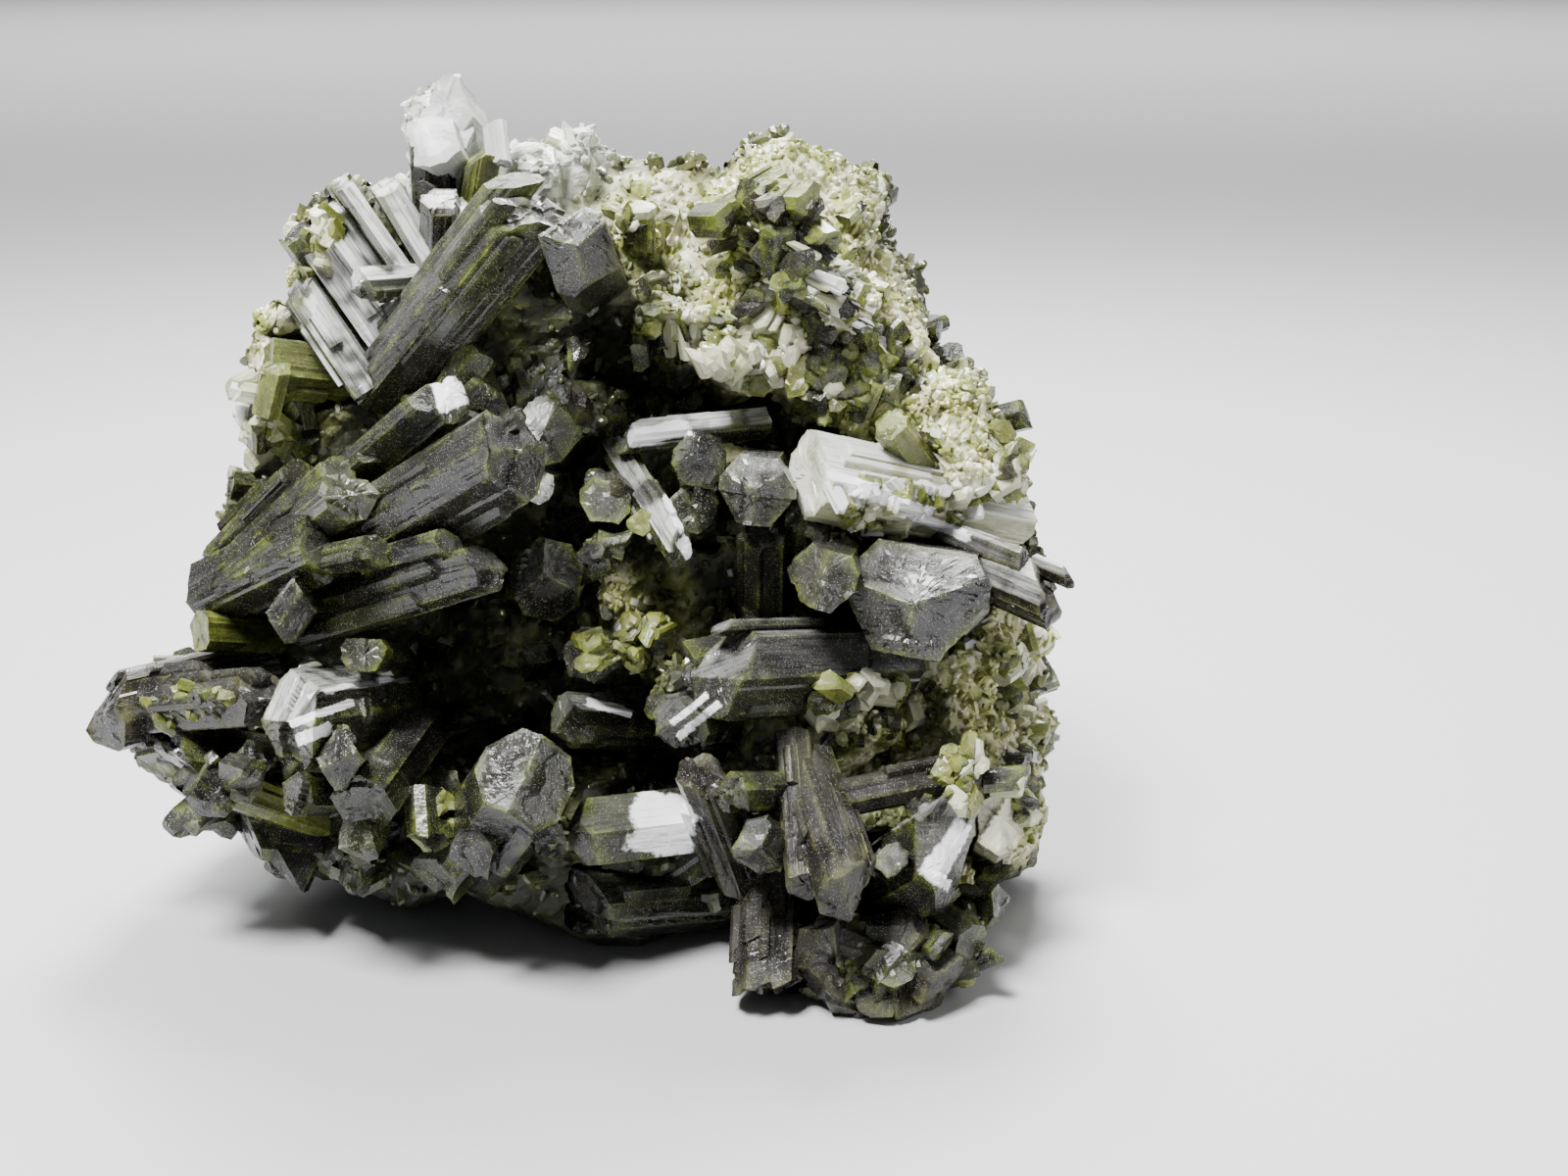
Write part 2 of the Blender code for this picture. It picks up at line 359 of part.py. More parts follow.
# Small crystals fused to the rock that they grow from
SMALL_CRYSTALS = [
    # Bright-faced row over the sheaf
    crystal((-9.8, 46.4, 7.0), (-8.2, 42.0, -2.5), 2.1, 2.3, (-0.1, 0.8, 0.8), [(0.3, -0.5, 1.0)]),
    crystal((-7.0, 46.0, 7.0), (-5.4, 42.2, -2.5), 1.6, 2.0, (-0.1, 0.8, 0.8), [(0.3, -0.5, 1.0)]),
    crystal((-4.0, 45.0, 7.0), (-3.2, 42.6, -1.5), 1.5, 1.8, (0.2, 0.8, 0.8), [(0.2, -0.4, 1.0)]),
    crystal((-12.2, 43.4, 4.0), (-10.8, 42.6, -2.0), 1.5, 1.2, (0.0, 0.9, 0.6), [(0.6, 0.0, 0.8)]),
    crystal((1.4, 40.6, 7.0), (1.0, 41.6, -0.5), 1.8, 1.8, (0.0, 0.9, 0.4), [(0.0, 0.3, 1.0)]),
    crystal((3.2, 38.4, 4.0), (2.9, 42.2, 0.5), 1.6, 1.4, (0.2, 0.0, 1.0), [(0.1, 1.0, 0.5)]),
    crystal((2.6, 36.6, 4.0), (2.2, 35.8, -4.5), 3.4, 3.0, (0.1, 0.9, 0.4), [(0.0, 0.3, 1.0)]),
    crystal((6.0, 22.6, 1.0), (3.8, 26.8, -5.0), 1.9, 1.8, (-0.2, 0.5, 1.0), [(-0.3, 0.8, 0.8)]),
    crystal((7.0, 24.0, 1.0), (5.4, 27.0, -4.5), 1.6, 1.5, (0.2, 0.5, 1.0), [(0.3, 0.8, 0.8)]),
    crystal((8.0, 22.4, 1.0), (7.2, 22.8, -7.5), 2.2, 2.3, (0.1, 0.9, 0.4), [(-0.2, 0.3, 1.0)]),
    crystal((12.6, 26.0, -4.0), (8.0, 25.0, -9.0), 2.2, 1.2, (0.1, 0.8, 0.6), [(-1.0, -0.3, 0.4)]),
    crystal((-12.6, 24.4, 2.0), (-14.8, 25.0, -9.0), 3.2, 2.2, (0.0, 1.0, 0.3), [(-0.3, 0.3, 1.0)]),
    crystal((-11.0, 10.4, 0.0), (-15.8, 9.6, -7.0), 2.8, 2.6, (-0.1, 0.8, 0.6), [(-0.8, 0.2, 0.8)]),
    crystal((-9.4, 14.0, -2.0), (-10.2, 13.9, -10.5), 2.7, 2.4, (0.1, 1.0, 0.3), [(-0.1, 0.4, 1.0)]),
    crystal((-1.4, 11.6, -4.0), (-1.6, 12.0, -14.0), 2.2, 2.4, (0.3, 0.9, 0.3), [(0.1, 0.2, 1.0)]),
    # Left edge
    crystal((-17.8, 39.6, 7.0), (-22.2, 42.4, 3.0), 2.6, 2.4, (0.0, 0.6, 0.9), [(-0.7, 0.7, 0.5)]),
    crystal((-19.6, 36.4, 7.0), (-24.2, 36.9, 2.5), 2.2, 2.2, (0.0, 0.6, 0.9), [(-1.0, 0.3, 0.4)]),
    crystal((-17.6, 52.0, 8.0), (-19.8, 55.0, 4.0), 2.6, 2.6, (0.1, 0.6, 0.9), [(-0.6, 0.8, 0.5)]),
    crystal((-18.6, 47.0, 8.0), (-21.6, 48.6, 4.0), 2.6, 2.4, (0.0, 0.6, 0.9), [(-0.8, 0.5, 0.5)]),
    # Upper centre: short upright rods and the flake below the mound
    crystal((4.6, 46.0, 7.0), (5.4, 49.4, 2.0), 1.5, 1.4, (0.0, 0.2, 1.0), [(0.0, 0.9, 0.6)]),
    crystal((6.2, 46.0, 7.0), (6.8, 49.8, 2.5), 1.4, 1.4, (0.1, 0.2, 1.0), [(0.1, 0.9, 0.6)]),
    crystal((7.6, 46.0, 7.0), (8.2, 49.2, 2.0), 1.6, 1.5, (-0.1, 0.2, 1.0), [(-0.1, 0.9, 0.6)]),
    crystal((9.2, 46.0, 7.0), (9.8, 49.4, 2.5), 1.5, 1.4, (0.2, 0.2, 1.0), [(0.1, 0.9, 0.6)]),
    crystal((13.6, 46.6, 4.0), (9.0, 45.4, -2.5), 1.8, 1.1, (0.0, 0.8, 0.7), [(-1.0, 0.1, 0.4)]),
    crystal((4.6, 52.6, 10.0), (4.4, 55.8, 4.0), 2.2, 2.0, (0.2, 0.4, 1.0), [(0.1, 0.9, 0.6)]),
    crystal((7.4, 51.6, 8.0), (4.8, 50.8, 2.5), 1.6, 1.5, (0.0, 0.8, 0.7), [(-0.8, 0.1, 0.7)]),
    crystal((24.0, 41.0, 6.0), (25.8, 43.0, 1.0), 1.8, 1.5, (0.1, 0.6, 0.9), [(0.5, 0.8, 0.5)]),
    # Lower right
    crystal((27.0, 36.0, 4.0), (30.8, 38.2, -0.5), 1.4, 1.6, (0.0, 0.8, 0.8), [(0.8, 0.6, 0.5)]),
    crystal((26.2, 13.0, -4.0), (24.4, 14.4, -12.5), 2.2, 1.8, (0.0, 0.9, 0.5), [(-0.3, 0.2, 1.0)]),
    crystal((18.6, 9.0, -8.0), (18.0, 9.2, -16.0), 2.6, 2.6, (0.2, 0.9, 0.5), [(-0.1, -0.3, 1.0)]),
    # The back
    crystal((-14.0, 31.0, 16.0), (-16.6, 31.4, 26.0), 2.6, 2.2, (0.0, 0.6, -0.8), [(-0.6, 0.2, -1.0)]),
    crystal((15.0, 44.0, 15.0), (19.0, 48.0, 25.0), 3.0, 2.6, (-0.2, 0.6, -0.8), [(0.6, 0.6, -0.8)]),
    crystal((6.0, 19.0, 18.0), (9.0, 16.6, 28.0), 2.8, 2.6, (0.3, 0.6, -0.7), [(0.3, -0.4, -1.0)]),
    crystal((-9.0, 42.0, 16.0), (-7.6, 42.0, 26.0), 2.4, 2.2, (0.0, 0.7, -0.7), [(0.3, -0.2, -0.9)]),
]

# The rock, as rough blocks that overlap
BOULDERS = [
    boulder((-12.4, 51.4, 12.0), (7.6, 8.4, 8.0), 1),
    boulder((-9.4, 60.3, 9.5), (2.8, 3.4, 5.0), 1),
    boulder((-3.0, 56.6, 11.5), (7.4, 6.6, 5.0), 2),
    boulder((4.6, 55.0, 13.0), (6.8, 6.4, 4.6), 2),
    boulder((-3.4, 49.0, 14.5), (8.4, 6.4, 6.4), 0),
    boulder((15.8, 54.4, 10.5), (6.6, 7.8, 7.0), 4),
    boulder((18.8, 47.0, 10.0), (6.4, 8.8, 7.2), 3),
    boulder((12.2, 47.4, 8.0), (4.8, 6.4, 5.0), 3),
    boulder((6.4, 49.6, 13.0), (8.2, 7.0, 6.2), 1),
    boulder((1.0, 40.4, 14.5), (15.0, 9.0, 9.6), 0),
    boulder((-17.6, 42.0, 11.0), (6.0, 7.8, 8.8), 1),
    boulder((-16.4, 32.0, 9.5), (9.4, 8.6, 8.4), 0),
    boulder((25.0, 38.2, 7.5), (7.2, 9.2, 7.2), 2),
    boulder((25.6, 28.0, 8.0), (7.6, 10.2, 9.2), 2),
    boulder((26.2, 16.8, 6.0), (7.4, 11.0, 9.4), 2),
    boulder((20.6, 10.8, 0.0), (8.8, 11.6, 8.2), 1),
    boulder((20.4, 4.4, -9.5), (7.2, 6.6, 5.2), 3),
    boulder((5.0, 12.0, 4.5), (13.0, 12.0, 7.6), 0),
    boulder((-12.4, 14.4, 5.5), (10.8, 10.2, 6.4), 1),
    boulder((-24.0, 20.2, 3.6), (6.6, 7.2, 5.0), 1),
    boulder((-6.4, 24.0, 19.0), (13.6, 8.6, 11.4), 0),
    boulder((13.4, 23.6, 5.5), (9.6, 11.6, 10.0), 0),
    boulder((6.6, 30.6, 7.4), (6.4, 6.6, 5.0), 1),
    boulder((13.6, 33.6, 7.0), (8.2, 6.4, 6.8), 1),
]

# Blocks of the base, centred at (X, Y, Z) in the specimen's own frame
BASE_BLOCKS = [
    ((0.0, 9.0, 3.6), (16.6, 11.4, 6.4)),
    ((19.0, 6.0, 4.0), (12.4, 13.6, 7.0)),
    ((4.0, 17.0, 10.0), (20.0, 8.6, 12.0)),
    ((5.0, 17.4, 31.0), (20.0, 7.0, 15.0)),
    ((21.4, -9.6, 2.6), (6.8, 6.2, 4.8)),
]

# Smaller blocks on the back, centred in the same way, with fewer corners cut off
BACK_BLOCKS = [
    ((-9.0, 17.4, 43.0), (7.4, 5.6, 7.6)),
    ((8.2, 19.0, 42.0), (8.4, 5.0, 6.8)),
    ((20.0, 16.8, 38.0), (6.8, 5.8, 7.4)),
    ((-4.0, 20.4, 33.0), (7.2, 4.6, 5.8)),
    ((14.0, 20.4, 28.0), (7.4, 4.6, 6.8)),
    ((-15.6, 17.4, 28.4), (6.6, 6.2, 7.0)),
    ((3.4, 21.0, 16.8), (8.2, 4.2, 6.6)),
    ((19.6, 18.4, 15.6), (7.2, 5.8, 7.4)),
]

# Hollows: the main pocket under the sheaf and the shadowed hollow beside the top blade
HOLLOWS = [
    ((-6.4, 23.4, 1.0), (8.4, 9.4, 5.4)),
    ((3.4, 45.4, 4.4), (6.2, 6.4, 4.4)),
]


BLOCK_CORNERS = [(x, y, z) for x in (-1, 1) for y in (-1, 1) for z in (-1, 1)]
FEW_CORNERS = 3         # how many of them are cut off a block on the back

# Crust lumps: half size in millimetres, how they stretch, how deep they sit, and the mean and
# spread of the way that they look from their boulder's middle
LUMP_SIZE = (0.9, 1.7)
LUMP_STRETCH = (0.7, 1.3)
LUMP_SINK = 0.2
LUMPS_TO_VIEWER = (-0.6, 1.0)
LUMPS_TO_TOP = (0.3, 1.0)
BLOCK_SIDES = [(-1, 0, 0), (1, 0, 0), (0, -1, 0), (0, 1, 0), (0, 0, -1), (0, 0, 1)]


# Whole-mesh helpers
def mesh_object(name, form, collection):
    mesh = bpy.data.meshes.new(name)
    form.to_mesh(mesh)
    form.free()
    item = bpy.data.objects.new(name, mesh)
    collection.objects.link(item)
    return item


def cutter_object(name, form, collection):
    item = mesh_object(name, form, collection)
    item.hide_render = True
    item.display_type = 'WIRE'
    return item


def apply_modifiers(item):
    graph = bpy.context.evaluated_depsgraph_get()
    finished = bpy.data.meshes.new_from_object(item.evaluated_get(graph))
    item.modifiers.clear()
    old_mesh = item.data
    item.data = finished
    bpy.data.meshes.remove(old_mesh)


def combine(item, operands, operation, name):
    group = bpy.data.collections.new(name)
    for operand in operands:
        group.objects.link(operand)
    joint = item.modifiers.new(name, 'BOOLEAN')
    joint.solver = 'EXACT'
    joint.operation = operation
    joint.operand_type = 'COLLECTION'
    joint.collection = group
    apply_modifiers(item)
    bpy.data.collections.remove(group)


# Connected islands of a mesh, as lists of faces
def islands(form):
    unseen = set(form.faces)
    found = []
    while unseen:
        edge_of_search = [unseen.pop()]
        island = []
        while edge_of_search:
            face = edge_of_search.pop()
            island.append(face)
            for edge in face.edges:
                for neighbour in edge.link_faces:
                    if neighbour in unseen:
                        unseen.remove(neighbour)
                        edge_of_search.append(neighbour)
        found.append(island)
    return found


def island_volume(island):
    total = 0.0
    for face in island:
        first = face.verts[0].co
        for second, third in zip(face.verts[1:-1], face.verts[2:]):
            total += first.dot(second.co.cross(third.co)) / 6.0
    return total


# Keep the biggest island, so that each node stays one body
def keep_one_body(item):
    form = bmesh.new()
    form.from_mesh(item.data)
    bmesh.ops.remove_doubles(form, verts=form.verts, dist=WELD)
    bmesh.ops.triangulate(form, faces=form.faces)
    pieces = sorted(islands(form), key=island_volume, reverse=True)
    for piece in pieces[1:]:
        share = island_volume(piece) / island_volume(pieces[0])
        if share > 0.01:
            print("dropped from", item.name, "a piece of", round(share, 3))
        bmesh.ops.delete(form, geom=piece, context='FACES')
    form.to_mesh(item.data)
    form.free()


# Cut a convex block by planes, each moved outward by the given growth, and close every cut
def trim_by_planes(form, planes, grow):
    for point, normal in planes:
        geometry = form.verts[:] + form.edges[:] + form.faces[:]
        result = bmesh.ops.bisect_plane(form, geom=geometry, dist=0.000001,
                                        plane_co=point + normal * grow, plane_no=normal,
                                        clear_outer=True)
        rim = [part for part in result["geom_cut"] if isinstance(part, bmesh.types.BMEdge)]
        if rim:
            bmesh.ops.contextual_create(form, geom=rim)


# Crystals
def corner_planes(width, thickness, trim):
    planes = []
    corners = ((1, 1), (-1, 1), (-1, -1), (1, -1))
    for (side_x, side_y), share in zip(corners, trim):
        normal = Vector((side_x * CORNER_LEAN[0], side_y * CORNER_LEAN[1], 0.0)).normalized()
        corner = Vector((side_x * width / 2.0, side_y * thickness / 2.0, 0.0))
        point = corner - normal * share * min(width, thickness) * 0.5
        planes.append((point, normal))
    return planes


def trimmed_block(half_sizes, centre, planes, grow):
    form = bmesh.new()
    bmesh.ops.create_cube(form, size=2.0)
    for vert in form.verts:
        vert.co = Vector([value * (half + grow) + middle for value, half, middle
                          in zip(vert.co, half_sizes, centre)])
    trim_by_planes(form, planes, grow)
    bmesh.ops.recalc_face_normals(form, faces=form.faces)
    return form


def crystal_frame(spec):
    axis = (spec["tip"] - spec["root"]).normalized()
    through = (spec["faces"] - axis * spec["faces"].dot(axis)).normalized()
    across = through.cross(axis)
    turn = Matrix((across, through, axis)).transposed()
    return turn, (spec["tip"] - spec["root"]).length


# End facets: each passes near the tip and looks its own way, seen in the crystal's frame
def end_planes(spec, turn, length, chance):
    planes = []
    for number, way in enumerate(spec["ends"]):
        normal = turn.transposed() @ heading(*way)
        if normal.z < END_SLOPE:
            normal = (normal + Vector((0.0, 0.0, STEEPEST_END - normal.z))).normalized()
        sink = chance.uniform(0.0, END_SINK) * number
        planes.append((Vector((0.0, 0.0, length - sink)), normal))
    return planes


# A growth ledge: a thinner prism that lies along the crystal and stands out of its face
def ledge_form(spec, length, ends, chance):
    width = spec["width"] * chance.uniform(*LEDGE_WIDTH)
    thickness = spec["thickness"] * chance.uniform(*LEDGE_THICKNESS)
    shift_x = chance.uniform(-0.5, 0.5) * (spec["width"] - width)
    shift_y = (spec["thickness"] - thickness) / 2.0 + LEDGE_RISE * chance.uniform(*LEDGE_SPREAD)
    start = length * chance.uniform(0.05, 0.3)
    stop = length * chance.uniform(0.7, 0.93)
    half_sizes = (width / 2.0, thickness / 2.0, (stop - start) / 2.0)
    centre = (shift_x, shift_y, (start + stop) / 2.0)
    slope = Vector((chance.uniform(-0.4, 0.4), 0.5, 0.8)).normalized()
    planes = [(Vector((shift_x, shift_y + thickness * 0.3, stop)), slope)]
    planes += [(point - normal * chance.uniform(*LEDGE_STOP), normal) for point, normal in ends]
    return trimmed_block(half_sizes, centre, planes, 0.0)


def crystal_forms(spec, chance_seed):
    chance = random.Random(chance_seed)
    turn, length = crystal_frame(spec)
    width = spec["width"]
    thickness = spec["thickness"]
    trim = spec["trim"] or [chance.uniform(*CORNER_TRIM) for _ in range(4)]
    reach = length + width
    ends = end_planes(spec, turn, length, chance)
    planes = corner_planes(width, thickness, trim) + ends
    forms = [trimmed_block((width / 2.0, thickness / 2.0, reach / 2.0), (0.0, 0.0, reach / 2.0),
                           planes, 0.0)]
    for _ in range(spec["ledges"]):
        forms.append(ledge_form(spec, length, ends, chance))
    to_world = Matrix.Translation(spec["root"]) @ turn.to_4x4()
    for form in forms:
        form.transform(Matrix.Scale(MILLIMETRE, 4) @ to_world)
    return forms


# A socket: the plain prism that a crystal and its ledges need, with the gap around it
def socket_form(spec, chance_seed):
    chance = random.Random(chance_seed)
    turn, length = crystal_frame(spec)
    rise = LEDGE_RISE * LEDGE_SPREAD[1] if spec["ledges"] else 0.0
    width = spec["width"]
    thickness = spec["thickness"]
    trim = spec["trim"] or [chance.uniform(*CORNER_TRIM) for _ in range(4)]
    corners = list(zip(corner_planes(width, thickness, trim), trim))
    if spec["ledges"]:
        corners = corners[2:]
    planes = [plane for plane, share in corners if share > DEEP_TRIM]
    planes += end_planes(spec, turn, length, chance)
    reach = length + width
    form = trimmed_block((width / 2.0, (thickness + rise) / 2.0, reach / 2.0),
                         (0.0, rise / 2.0, reach / 2.0), planes, GAP)
    to_world = Matrix.Translation(spec["root"]) @ turn.to_4x4()
    form.transform(Matrix.Scale(MILLIMETRE, 4) @ to_world)
    return form


# Rock
def rough_block(centre, half_sizes, chance, corners=BLOCK_CORNERS):
    form = bmesh.new()
    bmesh.ops.create_cube(form, size=2.0)
    planes = [corner_cut(corner, chance) for corner in corners]
    planes += [face_tilt(side, chance) for side in BLOCK_SIDES]
    trim_by_planes(form, planes, 0.0)
    size = [half * MILLIMETRE for half in half_sizes]
    for vert in form.verts:
        vert.co = Vector([value * scale for value, scale in zip(vert.co, size)]) + centre * MILLIMETRE
    bmesh.ops.recalc_face_normals(form, faces=form.faces)
    return form


# A block's corner is cut off by a plane that leans at random
def corner_cut(corner, chance):
    normal = Vector([value * chance.uniform(0.6, 1.0) for value in corner]).normalized()
    return Vector(corner) * chance.uniform(0.46, 0.57), normal


# A block's side leans a little, so that no two blocks share a plane
def face_tilt(side, chance):
    normal = (Vector(side) + Vector([chance.uniform(-0.3, 0.3) for _ in range(3)])).normalized()
    return Vector(side) * chance.uniform(0.80, 0.94), normal


# A crust lump: a small block, turned at random, on the outer side of its boulder
def crust_lump(parent, chance):
    way = Vector((chance.gauss(0, 1), chance.gauss(*LUMPS_TO_VIEWER), chance.gauss(*LUMPS_TO_TOP))).normalized()
    size = chance.uniform(*LUMP_SIZE)
    place_on = Vector([value * (half - size * LUMP_SINK) for value, half in zip(way, parent["half_sizes"])])
    turn = Euler([chance.uniform(0.0, math.pi) for _ in range(3)]).to_matrix().to_4x4()
    stretch = Matrix.Diagonal((chance.uniform(*LUMP_STRETCH), chance.uniform(*LUMP_STRETCH), 1.0, 1.0))
    form = bmesh.new()
    bmesh.ops.create_cube(form, size=2.0)
    trim_by_planes(form, [corner_cut(chance.choice(BLOCK_CORNERS), chance)], 0.0)
    form.transform(turn @ Matrix.Scale(size * MILLIMETRE, 4) @ stretch)
    form.transform(Matrix.Translation((parent["centre"] + place_on) * MILLIMETRE))
    bmesh.ops.recalc_face_normals(form, faces=form.faces)
    return form


# Materials
def stone_material(name, colour):
    red, green, blue, roughness = colour
    material = bpy.data.materials.new(name)
    material.use_nodes = True
    shader = material.node_tree.nodes["Principled BSDF"]
    shader.inputs["Base Color"].default_value = (red, green, blue, 1.0)
    shader.inputs["Roughness"].default_value = roughness
    shader.inputs["Metallic"].default_value = 0.0
    material.diffuse_color = (red, green, blue, 1.0)
    return material


def bounds_overlap(first, second):
    margin = 0.001
    for axis in range(3):
        first_values = [corner[axis] for corner in first.bound_box]
        second_values = [corner[axis] for corner in second.bound_box]
        if min(first_values) > max(second_values) + margin:
            return False
        if min(second_values) > max(first_values) + margin:
            return False
    return True


def build_crystal_groups(parts, cutters):
    groups = {}
    sockets = {}
    for number, (name, (colour, specs)) in enumerate(GROUPS.items()):
        solids = []
        sockets[name] = []
        for order, spec in enumerate(specs):
            chance_seed = SEED + number * 100 + order
            for form in crystal_forms(spec, chance_seed):
                solids.append(cutter_object(name + "_member", form, cutters))
            form = socket_form(spec, chance_seed)
            sockets[name].append(cutter_object(name + "_socket", form, cutters))
        node = solids[0]
        node.name = name
        if len(solids) > 1:
            combine(node, solids[1:], 'UNION', name + "_union")
        earlier = [socket for done in groups for socket in sockets[done]
                   if bounds_overlap(socket, node)]
        if earlier:
            combine(node, earlier, 'DIFFERENCE', name + "_clear")
        if min(corner[2] for corner in node.bound_box) < 0.0:
            cut_base(node, cutters)
        keep_one_body(node)
        node.data.materials.clear()
        node.data.materials.append(stone_material(name + "_stone", colour))
        node.hide_render = False
        node.display_type = 'TEXTURED'
        cutters.objects.unlink(node)
        parts.objects.link(node)
        groups[name] = node
    return groups, sockets


def build_matrix(parts, cutters, sockets):
    chance = random.Random(SEED)
    solids = []
    for spec in BOULDERS:
        solids.append(cutter_object("boulder", rough_block(spec["centre"], spec["half_sizes"], chance),
                                    cutters))
    for centre, half_sizes in BASE_BLOCKS:
        solids.append(cutter_object("base_block", rough_block(Vector(centre), half_sizes, chance), cutters))
    back_chance = random.Random(SEED + 1)
    for centre, half_sizes in BACK_BLOCKS:
        corners = back_chance.sample(BLOCK_CORNERS, FEW_CORNERS)
        form = rough_block(Vector(centre), half_sizes, back_chance, corners)
        solids.append(cutter_object("back_block", form, cutters))
    lumps = []
    for spec in BOULDERS:
        for _ in range(spec["lumps"]):
            lumps.append(cutter_object("lump", crust_lump(spec, chance), cutters))
    hollows = []
    hollow_chance = random.Random(SEED + 2)
    for centre, half_sizes in HOLLOWS:
        form = rough_block(place(*centre), half_sizes, hollow_chance)
        hollows.append(cutter_object("hollow", form, cutters))
    small = []
    for number, spec in enumerate(SMALL_CRYSTALS):
        for form in crystal_forms(spec, SEED + 9000 + number):
            small.append(cutter_object("small_crystal", form, cutters))
    matrix = solids[0]
    matrix.name = "matrix"
    combine(matrix, solids[1:] + lumps, 'UNION', "rock_union")
    combine(matrix, hollows, 'DIFFERENCE', "rock_hollows")
    combine(matrix, small, 'UNION', "rock_crystals")
    every_socket = [socket for group in sockets.values() for socket in group]
    combine(matrix, every_socket, 'DIFFERENCE', "rock_sockets")
    cut_base(matrix, cutters)
    keep_one_body(matrix)
    matrix.data.materials.clear()
    matrix.data.materials.append(stone_material("matrix_crust", CRUST_GREEN))
    matrix.hide_render = False
    matrix.display_type = 'TEXTURED'
    cutters.objects.unlink(matrix)
    parts.objects.link(matrix)
    return matrix


# The flat face that the specimen stands on, at height zero
def cut_base(item, cutters):
    form = bmesh.new()
    bmesh.ops.create_cube(form, size=200.0 * MILLIMETRE)
    bmesh.ops.translate(form, verts=form.verts, vec=(0.0, 0.0, -100.0 * MILLIMETRE))
    ground = cutter_object("ground", form, cutters)
    combine(item, [ground], 'DIFFERENCE', "flat_base")


# Put the middle of the whole bounding box over the origin and the foot at height zero
def centre_on_origin(items):
    corners = [vert.co for item in items for vert in item.data.vertices]
    low = Vector([min(corner[axis] for corner in corners) for axis in range(3)])
    high = Vector([max(corner[axis] for corner in corners) for axis in range(3)])
    shift = Vector((-(low.x + high.x) / 2.0, -(low.y + high.y) / 2.0, -low.z))
    for item in items:
        item.data.transform(Matrix.Translation(shift))
    print("shift to the origin", [round(value / MILLIMETRE, 3) for value in shift])
    print("size", [round(value / MILLIMETRE, 2) for value in high - low])


def main():
    for item in list(bpy.data.objects):
        bpy.data.objects.remove(item, do_unlink=True)
    parts = bpy.data.collections.new("epidote_crystal_cluster")
    cutters = bpy.data.collections.new("cutters")
    bpy.context.scene.collection.children.link(parts)
    bpy.context.scene.collection.children.link(cutters)
    groups, sockets = build_crystal_groups(parts, cutters)
    matrix = build_matrix(parts, cutters, sockets)
    centre_on_origin(list(groups.values()) + [matrix])
    for item in list(cutters.objects):
        bpy.data.objects.remove(item, do_unlink=True)


main()
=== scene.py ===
import math

import bmesh
import bpy
import numpy as np
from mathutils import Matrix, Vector
from mathutils.bvhtree import BVHTree


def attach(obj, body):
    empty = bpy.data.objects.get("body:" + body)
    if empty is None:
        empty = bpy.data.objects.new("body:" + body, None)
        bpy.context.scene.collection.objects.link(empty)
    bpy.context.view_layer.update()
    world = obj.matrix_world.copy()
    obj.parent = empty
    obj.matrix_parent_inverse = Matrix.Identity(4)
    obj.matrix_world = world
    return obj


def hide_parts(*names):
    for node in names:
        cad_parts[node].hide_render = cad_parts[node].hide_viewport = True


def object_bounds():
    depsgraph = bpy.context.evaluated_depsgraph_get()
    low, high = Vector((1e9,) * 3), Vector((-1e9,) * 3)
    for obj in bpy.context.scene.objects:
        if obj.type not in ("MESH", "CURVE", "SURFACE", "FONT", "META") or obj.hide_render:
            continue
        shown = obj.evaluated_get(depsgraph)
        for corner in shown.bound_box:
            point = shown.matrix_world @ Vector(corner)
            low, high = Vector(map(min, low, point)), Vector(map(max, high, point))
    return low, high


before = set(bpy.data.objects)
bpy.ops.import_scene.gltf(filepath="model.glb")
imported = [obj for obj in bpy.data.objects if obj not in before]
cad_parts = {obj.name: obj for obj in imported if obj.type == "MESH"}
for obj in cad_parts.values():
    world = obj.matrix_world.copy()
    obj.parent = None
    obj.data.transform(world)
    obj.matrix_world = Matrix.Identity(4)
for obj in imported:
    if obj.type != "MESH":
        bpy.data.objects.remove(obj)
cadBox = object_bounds()
mm = 0.001
print("frame loaded:", len(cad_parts), "nodes")

# The eye that the survey was made from, and the shift from the survey's frame to the model's
survey = {
    "pitch": 16.0,               # degrees that it looks down
    "distance": 160.0,
    "eye": (14.8, -153.8, 69.2),
    "aimUp": 29.7,               # height on the survey plane that it looks straight at
    "shift": (-0.755, -3.926, 0.0),
    "focalLength": 52.2,
    "filmWidth": 36.0,
}


# A point seen at (right, up) on the survey plane and lying at the given depth behind it
def place(right, up, depth):
    pitch = math.radians(survey["pitch"])
    eye = np.array(survey["eye"])
    above = up - survey["aimUp"]
    ray = np.array([right - eye[0],
                    above * math.sin(pitch) + survey["distance"] * math.cos(pitch),
                    above * math.cos(pitch) - survey["distance"] * math.sin(pitch)])
    return eye + ray * ((depth - eye[1]) / ray[1]) + np.array(survey["shift"])


def unit(vector):
    return np.asarray(vector, dtype=float) / np.linalg.norm(vector)


def heading(right, up, toward):
    return unit((right, -toward, up))


def numbers(field):
    return tuple(float(part) for part in field.split())


# One crystal from its row: root and tip (right, up, depth), width over its broad face and thickness, the
# way that face looks, the ways that its end facets look, its trimmed corners, its number of ledges
def crystal(row):
    fields = [field.strip() for field in row.split(";")]
    root, tip, sizes, faces, ends, trim, ledges = fields + ["-", "0"][len(fields) - 5:]
    width, thickness = numbers(sizes)
    return {"root": place(*numbers(root)), "tip": place(*numbers(tip)), "width": width,
            "thickness": thickness, "faces": heading(*numbers(faces)),
            "ends": [numbers(way) for way in ends.split(",")],
            "trim": None if trim == "-" else numbers(trim), "ledges": int(ledges)}


